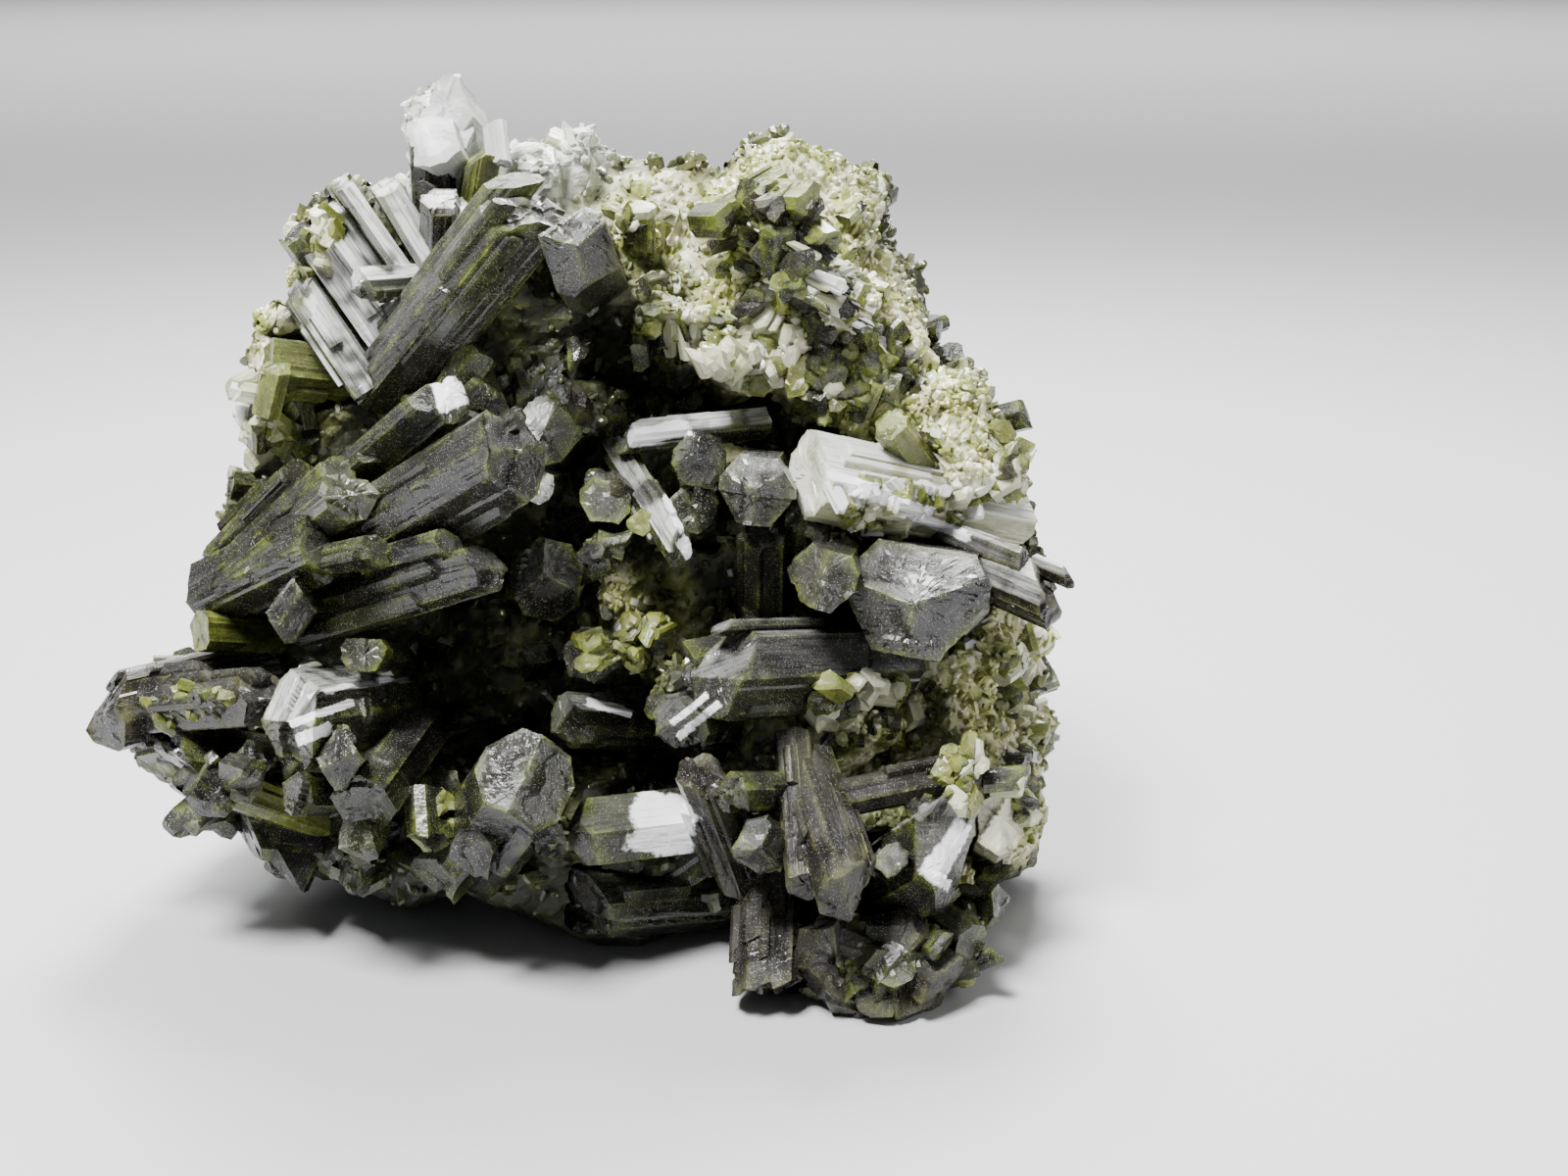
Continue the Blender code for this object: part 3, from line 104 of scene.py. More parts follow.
# Groups of crystals by node, each with its finish and its members
def crystalTable(text):
    groups = {}
    for line in text.strip().split("\n"):
        if ";" in line:
            members.append(crystal(line))
        elif not line.startswith("#"):
            name, finish = line.split()
            members = []
            groups[name] = (finish, members)
    return groups


# A line names a node and its finish, and each row below it is one crystal, in mm. The last two fields
# may be left out: how far the four corners are cut back (- for at random), and the number of ledges
# Row over the sheaf, with painted highlights on its faces
# The long blade at the top left, with its upper ledge, a faint painted sheen where it looks up to the light,
# and its broken, frosted end
crystalGroups = crystalTable("""
# The long blade at the top left, with its pale upper ledge and broken, frosted end
top_blade olive
-13.6 43.4 3; -2.6 57 -7; 4.8 4.2; 0.5 -0.1 1; -0.1 1 0.45, 0.5 0.9 0.1; 0.3 0.2 0.5 0.3; 1
-12.6 47.6 2; -4.2 58.4 -5; 2.3 2.8; -0.7 0.7 0.8; -0.2 1 0.4
end_on_crystal dark
1.6 51.6 6; 0.4 53.6 -9.5; 5.8 5.8; 0.2 0.7 0.3; 0.15 0.9 0.7, -0.2 -0.35 1, 0.9 -0.1 0.7; 0.7 0.6 0.6 0.7
top_grey_prisms brown
-9.2 52.6 6; -9 57 -1; 3.4 3.3; 0.1 -0.2 1; 0 1 0.5
-9.9 54.5 6; -10.2 61.2 4; 3.2 3.2; -0.3 0.1 1; -0.3 1 0.2, 0.6 0.8 0.3
top_yellow_prism yellow
-7.1 56 5; -6.2 61 3; 2.3 2; 0.4 0 1; 0.4 1 0.2, -0.7 0.9 0.3
# Parallel slabs that dip to the right, on the upper left flank
upper_left_slabs olive
-11.8 47 6; -18 55.8 7; 4.6 5.5; -0.5 0.4 1; -0.6 1 0.3
-11.6 51.2 4; -16.5 58.2 4.5; 1.5 4.5; -0.1 0.7 0.9; -0.5 1 0.2
-9.6 51.8 4; -13.3 58 4; 2 4; -0.1 0.7 0.9; -0.4 1 0.3
-13.4 49.6 4; -17.8 55.6 4.5; 1.3 4; -0.1 0.7 0.9; -0.6 1 0.3
-11 51.3 3; -15.2 51 -1.5; 2.4 2.3; 0 0.8 0.8; -1 0.1 0.7, -0.6 -0.6 0.8
left_bright_bar olive
-14.2 43.4 1.5; -19.5 51.3 3.5; 2.5 4; -0.2 0.6 1; -0.8 0.6 0.3; 0.2 0.3 0.4 0.3
left_green_block yellow
-16.5 44.6 7; -22.2 45.2 2; 4.2 4; 0.1 0.6 1; -1 0.3 0.4
# The left sheaf: parallel prisms that rise to the right and toward the viewer
sheaf_upper dark
-17.6 31.4 0; -3.9 39.6 -13; 5.4 5.6; 0.3 -0.5 1; 1 0.2 0.75, 0.7 0.9 0.4; 0.4 0.2 0.6 0.3; 2
-17 36.2 2; -9 43 -7; 3.4 4.2; -0.2 0.6 1; 0.9 0.7 0.7, 0.1 1 0.6; -; 1
sheaf_left olive
-25 29.4 2; -16.5 33.6 -6; 4.8 5; -0.2 0.7 0.8; 0.8 0 1; -; 1
-20 33 0; -15.6 36.4 -9; 2.8 3.6; -0.3 0.7 0.7; 0.35 -0.2 1, 0.2 0.9 0.7
-25 32.2 1; -19.4 38 -1.5; 2 2.2; -0.4 0.7 0.9; 0.8 0.8 0.6
-24.2 31.2 -1; -16.6 38 -4.5; 2.3 2.4; -0.4 0.7 0.9; 0.7 0.7 0.9
-24.8 29.8 -2; -20.2 33.4 -5; 1.8 2; -0.3 0.7 0.9; 0.7 0.6 0.9
sheaf_lower dark
-18.6 27.2 0; -5.2 31.4 -12; 3.5 3.8; 0.1 0.3 1; 1 0.2 0.6, 0.6 1 0.2; -; 1
-19.6 31.2 -3; -13.8 32.4 -9; 1.8 2.6; 0 0.7 0.8; 0.9 0.3 0.8
-14.4 31.2 -6; -8.8 32.8 -11; 1.6 2.4; 0 0.7 0.8; 0.9 0.3 0.8
sheaf_stub dark
-18.6 29 2; -19.9 28 -9; 4.7 4.5; 0.1 1 0.2; 0 0.25 1, 0.7 -0.3 0.9; 0.8 0.8 0.7 0.8
left_green_stub yellow
-21 26.4 4; -26.4 26.7 -2; 2.8 2.9; 0.1 0.4 1; -1 0.1 0.8
# The centre, in front of the upper hollow and over the main pocket
grey_cube_crystal olive
-1.2 39.6 7; -2.1 40.8 -3; 4 4; 0.5 0.8 0.3; -0.1 0.5 1, 0.8 0 0.8; 0.2 0.3 0.2 0.3
-1 37.2 6; -2.4 36.8 -3; 2 2.2; 0.3 0.8 0.5; -0.2 0.5 1
centre_pyramid dark
-1.4 30 6; -2.2 30.4 -8; 5 5.6; 0.2 0.9 0.4; -0.9 0.5 0.8, 0.8 0.5 0.8, 0.1 -0.6 0.9; 0.4 0.5 0.5 0.4
-2.2 30 -2; 2.9 32 -5; 2.6 1.3; 0.1 0.9 0.6; 1 0.4 0.4
bright_blade olive
13.4 41.2 4; 3.5 40.2 -1.5; 1.7 2.4; 0 0.8 0.8; -1 0.3 0.6; 0.3 0.2 0.2 0.3
small_pyramid dark
8.8 36.8 3; 8.8 39.2 -6; 3.8 3.6; 0.1 0.8 0.6; -0.7 0.8 0.7, 0.8 0.6 0.7, 0.1 -0.4 1; 0.3 0.4 0.4 0.3
centre_dark_prism dark
8.8 34.6 4; 8.3 35.6 -5.5; 3.4 3.8; 0.1 0.7 0.5; -0.2 0.2 1, 0.6 0.4 0.8
centre_block olive
13.4 37.2 4; 12.8 36.4 -8.5; 5.2 4.6; 0.1 1 0.2; -0.1 0.9 0.8, -0.6 -0.1 1, 0.5 -0.2 1; 0.5 0.4 0.5 0.5
bright_striated_prism olive
2.9 39.6 2; 7.7 31.9 -9; 2.4 2.3; -0.2 0.6 1; 0.7 -0.5 0.9, 0.9 0.2 0.6; 0.3 0.3 0.4 0.4; 1
upright_prism dark
13.4 25.8 2; 13.5 34 -3.5; 3.4 3.4; 0.3 0 1; 0 1 0.4; -; 1
16.6 29.6 2; 16.4 35 -4; 3 3.6; 0.4 0.1 1; -0.2 1 0.6, 0.5 0.6 0.8
# The right flank
pale_slab pale
30.6 34.8 6; 16.6 37.6 -4; 5.6 4.6; 0.1 0.9 0.75; -1 0.2 0.6; 0.2 0.2 0.3 0.3; 2
right_pale_block pale
27 37.4 10; 31.2 38.6 1; 4.8 4.6; 0.2 0.8 0.6; 0.5 0.2 1, 1 0.2 0.3
right_yellow_prism yellow
25.4 36.8 3; 22.1 41.2 -2; 2.6 2.4; -0.1 0.4 1; -0.5 0.8 0.7; -; 1
projecting_prism brown
26.4 32 2; 34 28.7 -7; 4 3.8; 0.1 0.9 0.5; 0.9 -0.1 0.7, 0.9 0.6 0.1; 0.4 0.4 0.5 0.4; 1
24.8 34 2; 31.8 31.4 -5; 1.9 2.4; 0 0.9 0.7; 1 0.1 0.5
big_dark_crystal dark
25 29.6 8; 24 28.6 -10.5; 9.6 7.4; 0.1 1 0.25; -0.6 0 1, 0.4 -0.1 1, -0.1 1.2 0.7; 0.3 0.3 0.5 0.6; 1
small_right_block olive
18.2 31.4 0; 17.4 30.2 -11; 4.6 4; 0.2 1 0.3; 0 0.2 1, -0.9 0.3 0.7; 0.3 0.4 0.5 0.5
striated_prism dark
22.6 24.2 0; 9.8 23.6 -12; 5.8 5.6; 0 0.5 0.9; -0.9 0.1 0.8, -0.7 0.9 0.4; 0.5 0.3 0.5 0.4; 2
low_centre_crystal dark
4.6 24.6 2; 0.8 25 -8; 3.8 3.6; 0.1 1 0.3; -0.5 0.3 1, 0.4 0.3 1; 0.4 0.5 0.5 0.5
highlight_block olive
10.6 20.6 -1; 7.2 20.1 -11; 3.8 4; 0.4 0.9 0.5; -0.6 0.1 1, -0.2 -0.5 1; 0.4 0.3 0.4 0.5
pocket_block dark
5.4 20 0; -0.8 20.4 -9.5; 3.4 3.6; 0.2 0.9 0.5; -1 0.2 0.7, -0.4 -0.3 1; 0.4 0.3 0.4 0.4; 1
# The lower left cluster
stepped_crystal olive
-13.4 21.2 0; -20.2 20.2 -13.5; 5.8 5.8; -0.1 0.8 0.8; -0.9 -0.1 0.8, -0.8 0.7 0.5; 0.3 0.2 0.4 0.3; 3
round_end_crystal dark
-15.6 18 -4; -16.4 17.6 -16.5; 4.4 4.2; 0.1 1 0.2; -0.3 0.8 0.8, 0.2 -0.2 1; 0.8 0.7 0.7 0.8
-15.6 15 -6; -19.6 15.2 -13; 3 3; 0 0.8 0.7; -0.8 0.2 0.9; 0.6 0.6 0.6 0.6
striated_flank dark
-11.2 19.4 -1; -14.8 14.4 -13.5; 4.8 5; 0.6 0.2 1; -0.4 -0.5 1; -; 2
far_left_prism brown
-21.6 23.6 5; -33.4 20.6 -4; 5.4 5; 0 0.5 1; -0.75 -0.2 1, -0.9 0.7 0.3; 0.4 0.4 0.5 0.5; 1
crumbly_prism brown
-29.6 21.2 -2; -21 21.9 -10; 4.4 4.2; -0.2 0.8 0.7; 0.9 -0.6 0.8, 0.5 0.8 0.2; 0.5 0.5 0.6 0.5; 1
lower_left_body dark
-17.4 16.4 3; -28.4 17.8 -6; 4.8 5.2; -0.1 0.2 1; -1 0.1 0.6, -0.6 -0.7 0.6; -; 1
-21.6 17.6 -1; -22.8 17.6 -9.5; 3 2.8; 0.1 1 0.2; -0.1 0.3 1; 0.8 0.7 0.7 0.8
-24.4 16.4 0; -26.4 14.8 -6.5; 2.8 3; 0.1 0.6 0.8; -0.5 -0.2 1
green_edged_blade yellow
-17.6 13 -2; -25.2 15.8 -8; 2.2 3; 0 0.6 1; -1 0.4 0.5; 0.4 0.4 0.4 0.4
under_slab dark
-11.6 12.6 2; -23.6 13.6 -3; 3.4 7; -0.1 -0.3 1; -0.9 -0.2 0.6
# The lower centre
lower_block dark
-6.8 11.4 -4; -3.2 16.6 -15.5; 6.4 6.2; -0.2 -0.3 1; 0 1 0.75, 0.8 0.5 0.7; 0.4 0.3 0.3 0.4; 1
leaf_crystal olive
9.8 13.6 -6; -0.2 12.4 -12.5; 5.6 3; -0.1 0.9 0.8; -0.9 0.5 0.1, -0.8 -0.3 0.9; 0.9 0.6 0.8 0.6
base_slab dark
13.6 8.6 1; 0.8 7.6 -7; 4.6 7; -0.1 0.2 1; -0.9 -0.1 0.7; -; 1
# The lower right, where prisms cross in front of the foot
crossing_prisms brown
16.2 17.4 -9; 19.5 7.6 -20.5; 4.3 3.6; 0.5 0.3 1; 0 -0.45 1, 0.95 -0.1 0.6; 0.4 0.3 0.4 0.5; 1
15.4 19.2 -9; 16.4 8.6 -18; 2.7 2.6; -0.3 0.2 1; -0.1 -0.6 1; 0.4 0.4 0.5 0.4
tall_brown_crystal brown
11.8 9.2 -8; 8.8 17 -13; 3.4 4; 0.4 0 1; -0.4 1 0.4, 0.5 0.8 0.6; -; 1
lower_right_block olive
13.8 12.4 -7; 13.2 11.3 -17.5; 3.9 4.2; -0.2 1 0.3; -0.2 0.35 1, 0.9 -0.2 0.9, 0 -0.8 0.9; 0.5 0.5 0.5 0.5
level_block olive
16.4 15.4 -10; 10.8 15.3 -15.5; 2.8 2.8; 0 0.7 0.8; -1 0.6 0.5, -0.7 -0.4 1; 0.5 0.4 0.5 0.5
level_olive_prism brown
17.4 14.6 -12.5; 28.8 17 -9.5; 2.6 2.8; 0 0.6 0.9; 1 0.2 0.4; -; 1
25.4 15.6 -4; 27.6 17 -11; 2.6 3.6; 0.2 1 0.3; 0.3 0.4 1
large_frosted_crystal olive
21 7.6 -5; 27.2 11.4 -16; 6.6 6; -0.5 0.6 0.9; 0.6 0.35 1, 0.9 -0.3 0.5; 0.3 0.4 0.5 0.4; 1
22.4 9.6 -8; 22.4 10.6 -17.5; 1.9 2.2; 0.4 0.8 0.5; 0 0.4 1
cracked_crystal pale
29.6 12.4 0; 30.2 13.6 -10.5; 4 4.6; 0.3 0.8 0.4; 0.1 0.3 1, 0.9 0.2 0.6
foot_prism brown
14.4 9.4 -7; 14.1 1 -15.5; 5.6 4.6; -0.1 0.3 1; 0 -1 0.35, 0.5 -0.9 0.5; 0.5 0.4 0.4 0.5; 2
# Dark crystals on the top right mound
mound_crystals dark
15 53.4 8; 15.6 55.2 -1.5; 3.6 3.6; 0.3 0.9 0.4; 0.4 0.5 0.9, -0.5 0.3 1; 0.4 0.4 0.4 0.4
15.4 52.4 6; 15.8 52 -2; 3 3; 0.2 0.9 0.4; 0 0.4 1
12.4 56.2 6; 14.4 57 -1; 2.2 2.4; 0 0.8 0.6; 0.6 0.3 0.9
mound_olive_prism yellow
14.8 58.6 3; 9.4 55.6 1; 1.7 1.9; -0.2 0.8 0.7; -1 0 0.6
# The back and the sides away from the viewer
back_left_prism olive
-8 36 16; -20.6 40 23.6; 4.6 4; 0 0.5 -1; -1 0.4 0, -0.4 0.5 -0.8
-8.6 34.8 16; -17 36 25.6; 3.4 3; 0 0.4 -1; -0.8 0 -0.9
back_upper_prism dark
2 46 14; 5.6 58.6 22.6; 4.2 3.6; -0.3 0 -1; 0.2 1 -0.4, -0.3 0.5 -0.9
4 46.4 14; 11.6 54.6 25; 3 3.2; -0.2 0.3 -1; 0.7 0.8 -0.4
back_middle_prism olive
12 38.6 17; 21.4 36.4 27; 5 4.4; 0 0.6 -1; 0.9 -0.1 -0.6, 0.5 0.9 -0.5; -; 1
back_low_prism brown
-1 23 18; -9.6 18.6 27; 4.4 4.4; 0.2 0.7 -1; -0.8 -0.2 -0.7, -0.2 0.8 -0.8
back_crossing_prisms dark
-3 47 15; -11 53.6 25; 4 3.6; 0.3 0.4 -1; -0.8 0.6 -0.4, -0.3 0.3 -1
-3.4 46.4 16; -9.6 46.8 26.5; 2.8 2.8; 0.2 0.8 -0.6; -0.6 0.1 -1
back_centre_prisms olive
4 38 19; -3 33 28.4; 4.4 3.8; -0.2 0.6 -0.8; -0.7 -0.4 -0.8, -0.2 0.6 -1
4.6 37 20; 4 29.6 28; 3 2.8; 0.4 0.4 -0.8; -0.1 -0.6 -1
4.4 38.6 20; 0.6 39 27.8; 2.2 2.4; 0 0.7 -0.8; -0.6 0.2 -1
back_right_prisms dark
13.6 22.6 16; 22.4 15.6 26.4; 4.6 4; 0.4 0.6 -0.8; 0.8 -0.5 -0.6, 0.3 0.6 -0.9
13.4 23.8 17; 20.6 23.4 26.8; 3 3; 0 0.7 -0.8; 0.7 0 -0.9
right_side_prism olive
26 22 10; 33.6 24.6 13; 4 3.8; 0.2 1 0.3; 1 0.2 -0.2, 0.7 0.8 0.4
# Small crystals that grow from the rock itself
fused_crystals olive
# Bright-faced row over the sheaf
-9.8 46.4 7; -8.2 42 -2.5; 2.1 2.3; -0.1 0.8 0.8; 0.3 -0.5 1
-7 46 7; -5.4 42.2 -2.5; 1.6 2; -0.1 0.8 0.8; 0.3 -0.5 1
-4 45 7; -3.2 42.6 -1.5; 1.5 1.8; 0.2 0.8 0.8; 0.2 -0.4 1
-12.2 43.4 4; -10.8 42.6 -2; 1.5 1.2; 0 0.9 0.6; 0.6 0 0.8
1.4 40.6 7; 1 41.6 -0.5; 1.8 1.8; 0 0.9 0.4; 0 0.3 1
3.2 38.4 4; 2.9 42.2 0.5; 1.6 1.4; 0.2 0 1; 0.1 1 0.5
2.6 36.6 4; 2.2 35.8 -4.5; 3.4 3; 0.1 0.9 0.4; 0 0.3 1
6 22.6 1; 3.8 26.8 -5; 1.9 1.8; -0.2 0.5 1; -0.3 0.8 0.8
7 24 1; 5.4 27 -4.5; 1.6 1.5; 0.2 0.5 1; 0.3 0.8 0.8
8 22.4 1; 7.2 22.8 -7.5; 2.2 2.3; 0.1 0.9 0.4; -0.2 0.3 1
12.6 26 -4; 8 25 -9; 2.2 1.2; 0.1 0.8 0.6; -1 -0.3 0.4
-12.6 24.4 2; -14.8 25 -9; 3.2 2.2; 0 1 0.3; -0.3 0.3 1
-11 10.4 0; -15.8 9.6 -7; 2.8 2.6; -0.1 0.8 0.6; -0.8 0.2 0.8
-9.4 14 -2; -10.2 13.9 -10.5; 2.7 2.4; 0.1 1 0.3; -0.1 0.4 1
-1.4 11.6 -4; -1.6 12 -14; 2.2 2.4; 0.3 0.9 0.3; 0.1 0.2 1
# Left edge
-17.8 39.6 7; -22.2 42.4 3; 2.6 2.4; 0 0.6 0.9; -0.7 0.7 0.5
-19.6 36.4 7; -24.2 36.9 2.5; 2.2 2.2; 0 0.6 0.9; -1 0.3 0.4
-17.6 52 8; -19.8 55 4; 2.6 2.6; 0.1 0.6 0.9; -0.6 0.8 0.5
-18.6 47 8; -21.6 48.6 4; 2.6 2.4; 0 0.6 0.9; -0.8 0.5 0.5
# Upper centre: short upright rods and the flake below the mound
4.6 46 7; 5.4 49.4 2; 1.5 1.4; 0 0.2 1; 0 0.9 0.6
6.2 46 7; 6.8 49.8 2.5; 1.4 1.4; 0.1 0.2 1; 0.1 0.9 0.6
7.6 46 7; 8.2 49.2 2; 1.6 1.5; -0.1 0.2 1; -0.1 0.9 0.6
9.2 46 7; 9.8 49.4 2.5; 1.5 1.4; 0.2 0.2 1; 0.1 0.9 0.6
13.6 46.6 4; 9 45.4 -2.5; 1.8 1.1; 0 0.8 0.7; -1 0.1 0.4
4.6 52.6 10; 4.4 55.8 4; 2.2 2; 0.2 0.4 1; 0.1 0.9 0.6
7.4 51.6 8; 4.8 50.8 2.5; 1.6 1.5; 0 0.8 0.7; -0.8 0.1 0.7
24 41 6; 25.8 43 1; 1.8 1.5; 0.1 0.6 0.9; 0.5 0.8 0.5
# Lower right
27 36 4; 30.8 38.2 -0.5; 1.4 1.6; 0 0.8 0.8; 0.8 0.6 0.5
26.2 13 -4; 24.4 14.4 -12.5; 2.2 1.8; 0 0.9 0.5; -0.3 0.2 1
18.6 9 -8; 18 9.2 -16; 2.6 2.6; 0.2 0.9 0.5; -0.1 -0.3 1
# The back
-14 31 16; -16.6 31.4 26; 2.6 2.2; 0 0.6 -0.8; -0.6 0.2 -1
15 44 15; 19 48 25; 3 2.6; -0.2 0.6 -0.8; 0.6 0.6 -0.8
6 19 18; 9 16.6 28; 2.8 2.6; 0.3 0.6 -0.7; 0.3 -0.4 -1
-9 42 16; -7.6 42 26; 2.4 2.2; 0 0.7 -0.7; 0.3 -0.2 -0.9
""")
fusedCrystals = crystalGroups.pop("fused_crystals")[1]


# Seeded values on a lattice, blended smoothly between its corners
def latticeNoise(points, size, seed):
    scaled = points / size
    cell = np.floor(scaled).astype(np.int64)
    part = scaled - cell
    part = part * part * (3.0 - 2.0 * part)
    total = np.zeros(len(points))
    for corner in np.ndindex(2, 2, 2):
        weight = np.prod(np.where(np.array(corner) == 1, part, 1.0 - part), axis=1)
        total += weight * latticeValue(cell + np.array(corner), seed)
    return total * 2.0 - 1.0


# A scrambled whole number for each lattice corner, as a value from 0 to 1
def latticeValue(cell, seed):
    key = (cell[:, 0] * 73856093) ^ (cell[:, 1] * 19349663) ^ (cell[:, 2] * 83492791) ^ (seed * 2654435761)
    key = (key ^ (key >> 13)) * 1274126177
    key = (key ^ (key >> 16)) & 0xFFFFFF
    return key / float(0xFFFFFF)


# Distance to the nearest and next nearest of the grains scattered one to a cell, in cell sizes
def grainDistance(points, size, seed):
    scaled = points / size
    cell = np.floor(scaled).astype(np.int64)
    near = np.full(len(points), 9.0)
    following = np.full(len(points), 9.0)
    tone = np.zeros(len(points))
    for offset in np.ndindex(3, 3, 3):
        other = cell + np.array(offset) - 1
        grain = other + np.stack([latticeValue(other, seed + step) for step in (1, 2, 3)], axis=1)
        distance = np.linalg.norm(scaled - grain, axis=1)
        closer = distance < near
        following = np.where(closer, near, np.minimum(following, distance))
        tone = np.where(closer, latticeValue(other, seed + 4), tone)
        near = np.where(closer, distance, near)
    return near, following, tone


# Faces between rings of points
def gridFaces(rings, columns, first):
    ring, column = np.meshgrid(np.arange(rings - 1), np.arange(columns), indexing="ij")
    following = (column + 1) % columns
    low = first + ring * columns
    high = low + columns
    return np.stack([low + column, low + following, high + following, high + column], axis=-1).reshape(-1, 4)


# Faces that close a ring toward one point
def fanFaces(ringStart, columns, centre, inward):
    column = ringStart + np.arange(columns)
    following = ringStart + (np.arange(columns) + 1) % columns
    pair = [following, column] if inward else [column, following]
    return np.stack(pair + [np.full(columns, centre)], axis=-1)


def addItem(name, data):
    item = bpy.data.objects.new(name, data)
    bpy.context.scene.collection.objects.link(item)
    return item


# An object from arrays of points in mm, four- and three-sided faces, and one value for each point
def buildMesh(name, points, quads, triangles, attributes, surfaceMap=None):
    mesh = bpy.data.meshes.new(name)
    points = np.column_stack([points[:, :2], np.maximum(points[:, 2], 0.0)])
    loops = np.concatenate([quads.ravel(), triangles.ravel()]).astype(np.int32)
    starts = np.concatenate([np.arange(len(quads)) * 4, len(quads) * 4 + np.arange(len(triangles)) * 3])
    totals = np.concatenate([np.full(len(quads), 4), np.full(len(triangles), 3)])
    mesh.vertices.add(len(points))
    mesh.vertices.foreach_set("co", (points * mm).astype(np.float32).ravel())
    mesh.loops.add(len(loops))
    mesh.loops.foreach_set("vertex_index", loops)
    mesh.polygons.add(len(starts))
    mesh.polygons.foreach_set("loop_start", starts.astype(np.int32))
    mesh.polygons.foreach_set("loop_total", totals.astype(np.int32))
    mesh.update(calc_edges=True)
    mesh.validate()
    mesh.shade_flat()
    for key, values in attributes.items():
        layer = mesh.attributes.new(key, "FLOAT", "POINT")
        layer.data.foreach_set("value", values.astype(np.float32))
    if surfaceMap is not None:
        layer = mesh.uv_layers.new(name="along")
        layer.data.foreach_set("uv", surfaceMap[loops].astype(np.float32).ravel())
    return addItem(name, mesh)


# The solids that a line of sight can meet
def solidTree(without=()):
    verts, faces, first = [], [], 0
    for name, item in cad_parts.items():
        if name in without:
            continue
        verts += [tuple(vert.co) for vert in item.data.vertices]
        faces += [[first + index for index in face.vertices] for face in item.data.polygons]
        first += len(item.data.vertices)
    return BVHTree.FromPolygons(verts, faces)


solids = solidTree()
eyePoint = np.array(survey["eye"]) + np.array(survey["shift"])


# The first solid that a line of sight through (right, up) meets, in mm
def seenPoint(right, up):
    way = unit(place(right, up, 0.0) - eyePoint)
    hit = solids.ray_cast(Vector(eyePoint * mm), Vector(way))[0]
    return None if hit is None else np.array(hit) / mm


# Right and up on the survey plane, and distance from the eye: the other way round from place
def surveyPlace(points):
    pitch = math.radians(survey["pitch"])
    ray = points - eyePoint
    away = ray[:, 1] * math.cos(pitch) - ray[:, 2] * math.sin(pitch)
    above = ray[:, 1] * math.sin(pitch) + ray[:, 2] * math.cos(pitch)
    return (survey["eye"][0] + ray[:, 0] * survey["distance"] / away,
            survey["aimUp"] + above * survey["distance"] / away, away)


# Painted highlights on cleavage faces, where they would reflect the lamps: middle and half length on the
# survey plane (right, up), and width, all in mm
paintedHighlights = [
    ((-8.8, 43.6), (0.45, -1.25), 2.2), ((-6.1, 43.3), (0.4, -1.1), 1.5), ((-3.5, 43.2), (0.45, -0.5), 0.9),
    ((-16.6, 21.3), (3.4, 1.2), 0.6), ((-15.8, 22.9), (3.0, 0.9), 0.4), ((-18.6, 19.3), (1.6, 0.6), 0.9),
    ((-13.2, 23.4), (0.5, 0.15), 0.7), ((2.5, 21.3), (1.6, -0.45), 0.7), ((6.0, 40.6), (2.2, 0.5), 1.3),
    ((8.8, 20.4), (1.5, 1.25), 0.6), ((8.2, 21.2), (1.3, 1.05), 0.5), ((33.8, 30.0), (0.5, -0.9), 0.8),
    ((22.4, 35.8), (2.8, -0.9), 0.9), ((19.6, 37.2), (1.8, -0.6), 0.7), ((26.0, 34.0), (2.1, -0.8), 0.8),
    ((28.6, 37.4), (1.4, 0.8), 0.9), ((6.3, 13.0), (2.2, -0.5), 4.4), ((28.4, 26.2), (0.9, 0.2), 1.2),
    ((26.6, 11.0), (1.4, 1.9), 2.4), ((21.4, 10.6), (0.5, -0.9), 1.0), ((7.0, 34.9), (0.6, -1.2), 0.5),
    ((8.2, 32.0), (0.7, -1.2), 0.9), ((-5.4, 45.4), (0.5, -0.4), 0.6),
]
paintedHighlightShape = {
    "depth": 3.0,         # mm from the seen solid that a painted highlight still reaches
    "blur": 0.35,         # width of its soft edge, in widths of the face, and at least so many mm
    "leastBlur": 0.3,
}


# How far each point lies inside a painted highlight, from 0 to 1
def paintedHighlightAmount(points):
    right, up, away = surveyPlace(points)
    amount = np.zeros(len(points))
    for middle, half, width in paintedHighlights:
        spot = seenPoint(*middle)
        if spot is None:
            continue
        reach = math.hypot(*half)
        along = np.array(half) / reach
        offset = np.stack([right - middle[0], up - middle[1]], axis=1)
        past = np.maximum(np.abs(offset @ along) - reach, np.abs(offset @ (-along[1], along[0])) - width / 2)
        near = np.abs(away - surveyPlace(spot[None])[2]) < paintedHighlightShape["depth"]
        blur = max(paintedHighlightShape["leastBlur"], width * paintedHighlightShape["blur"])
        amount = np.maximum(amount, np.clip(0.5 - past / blur, 0.0, 1.0) * near)
    return amount


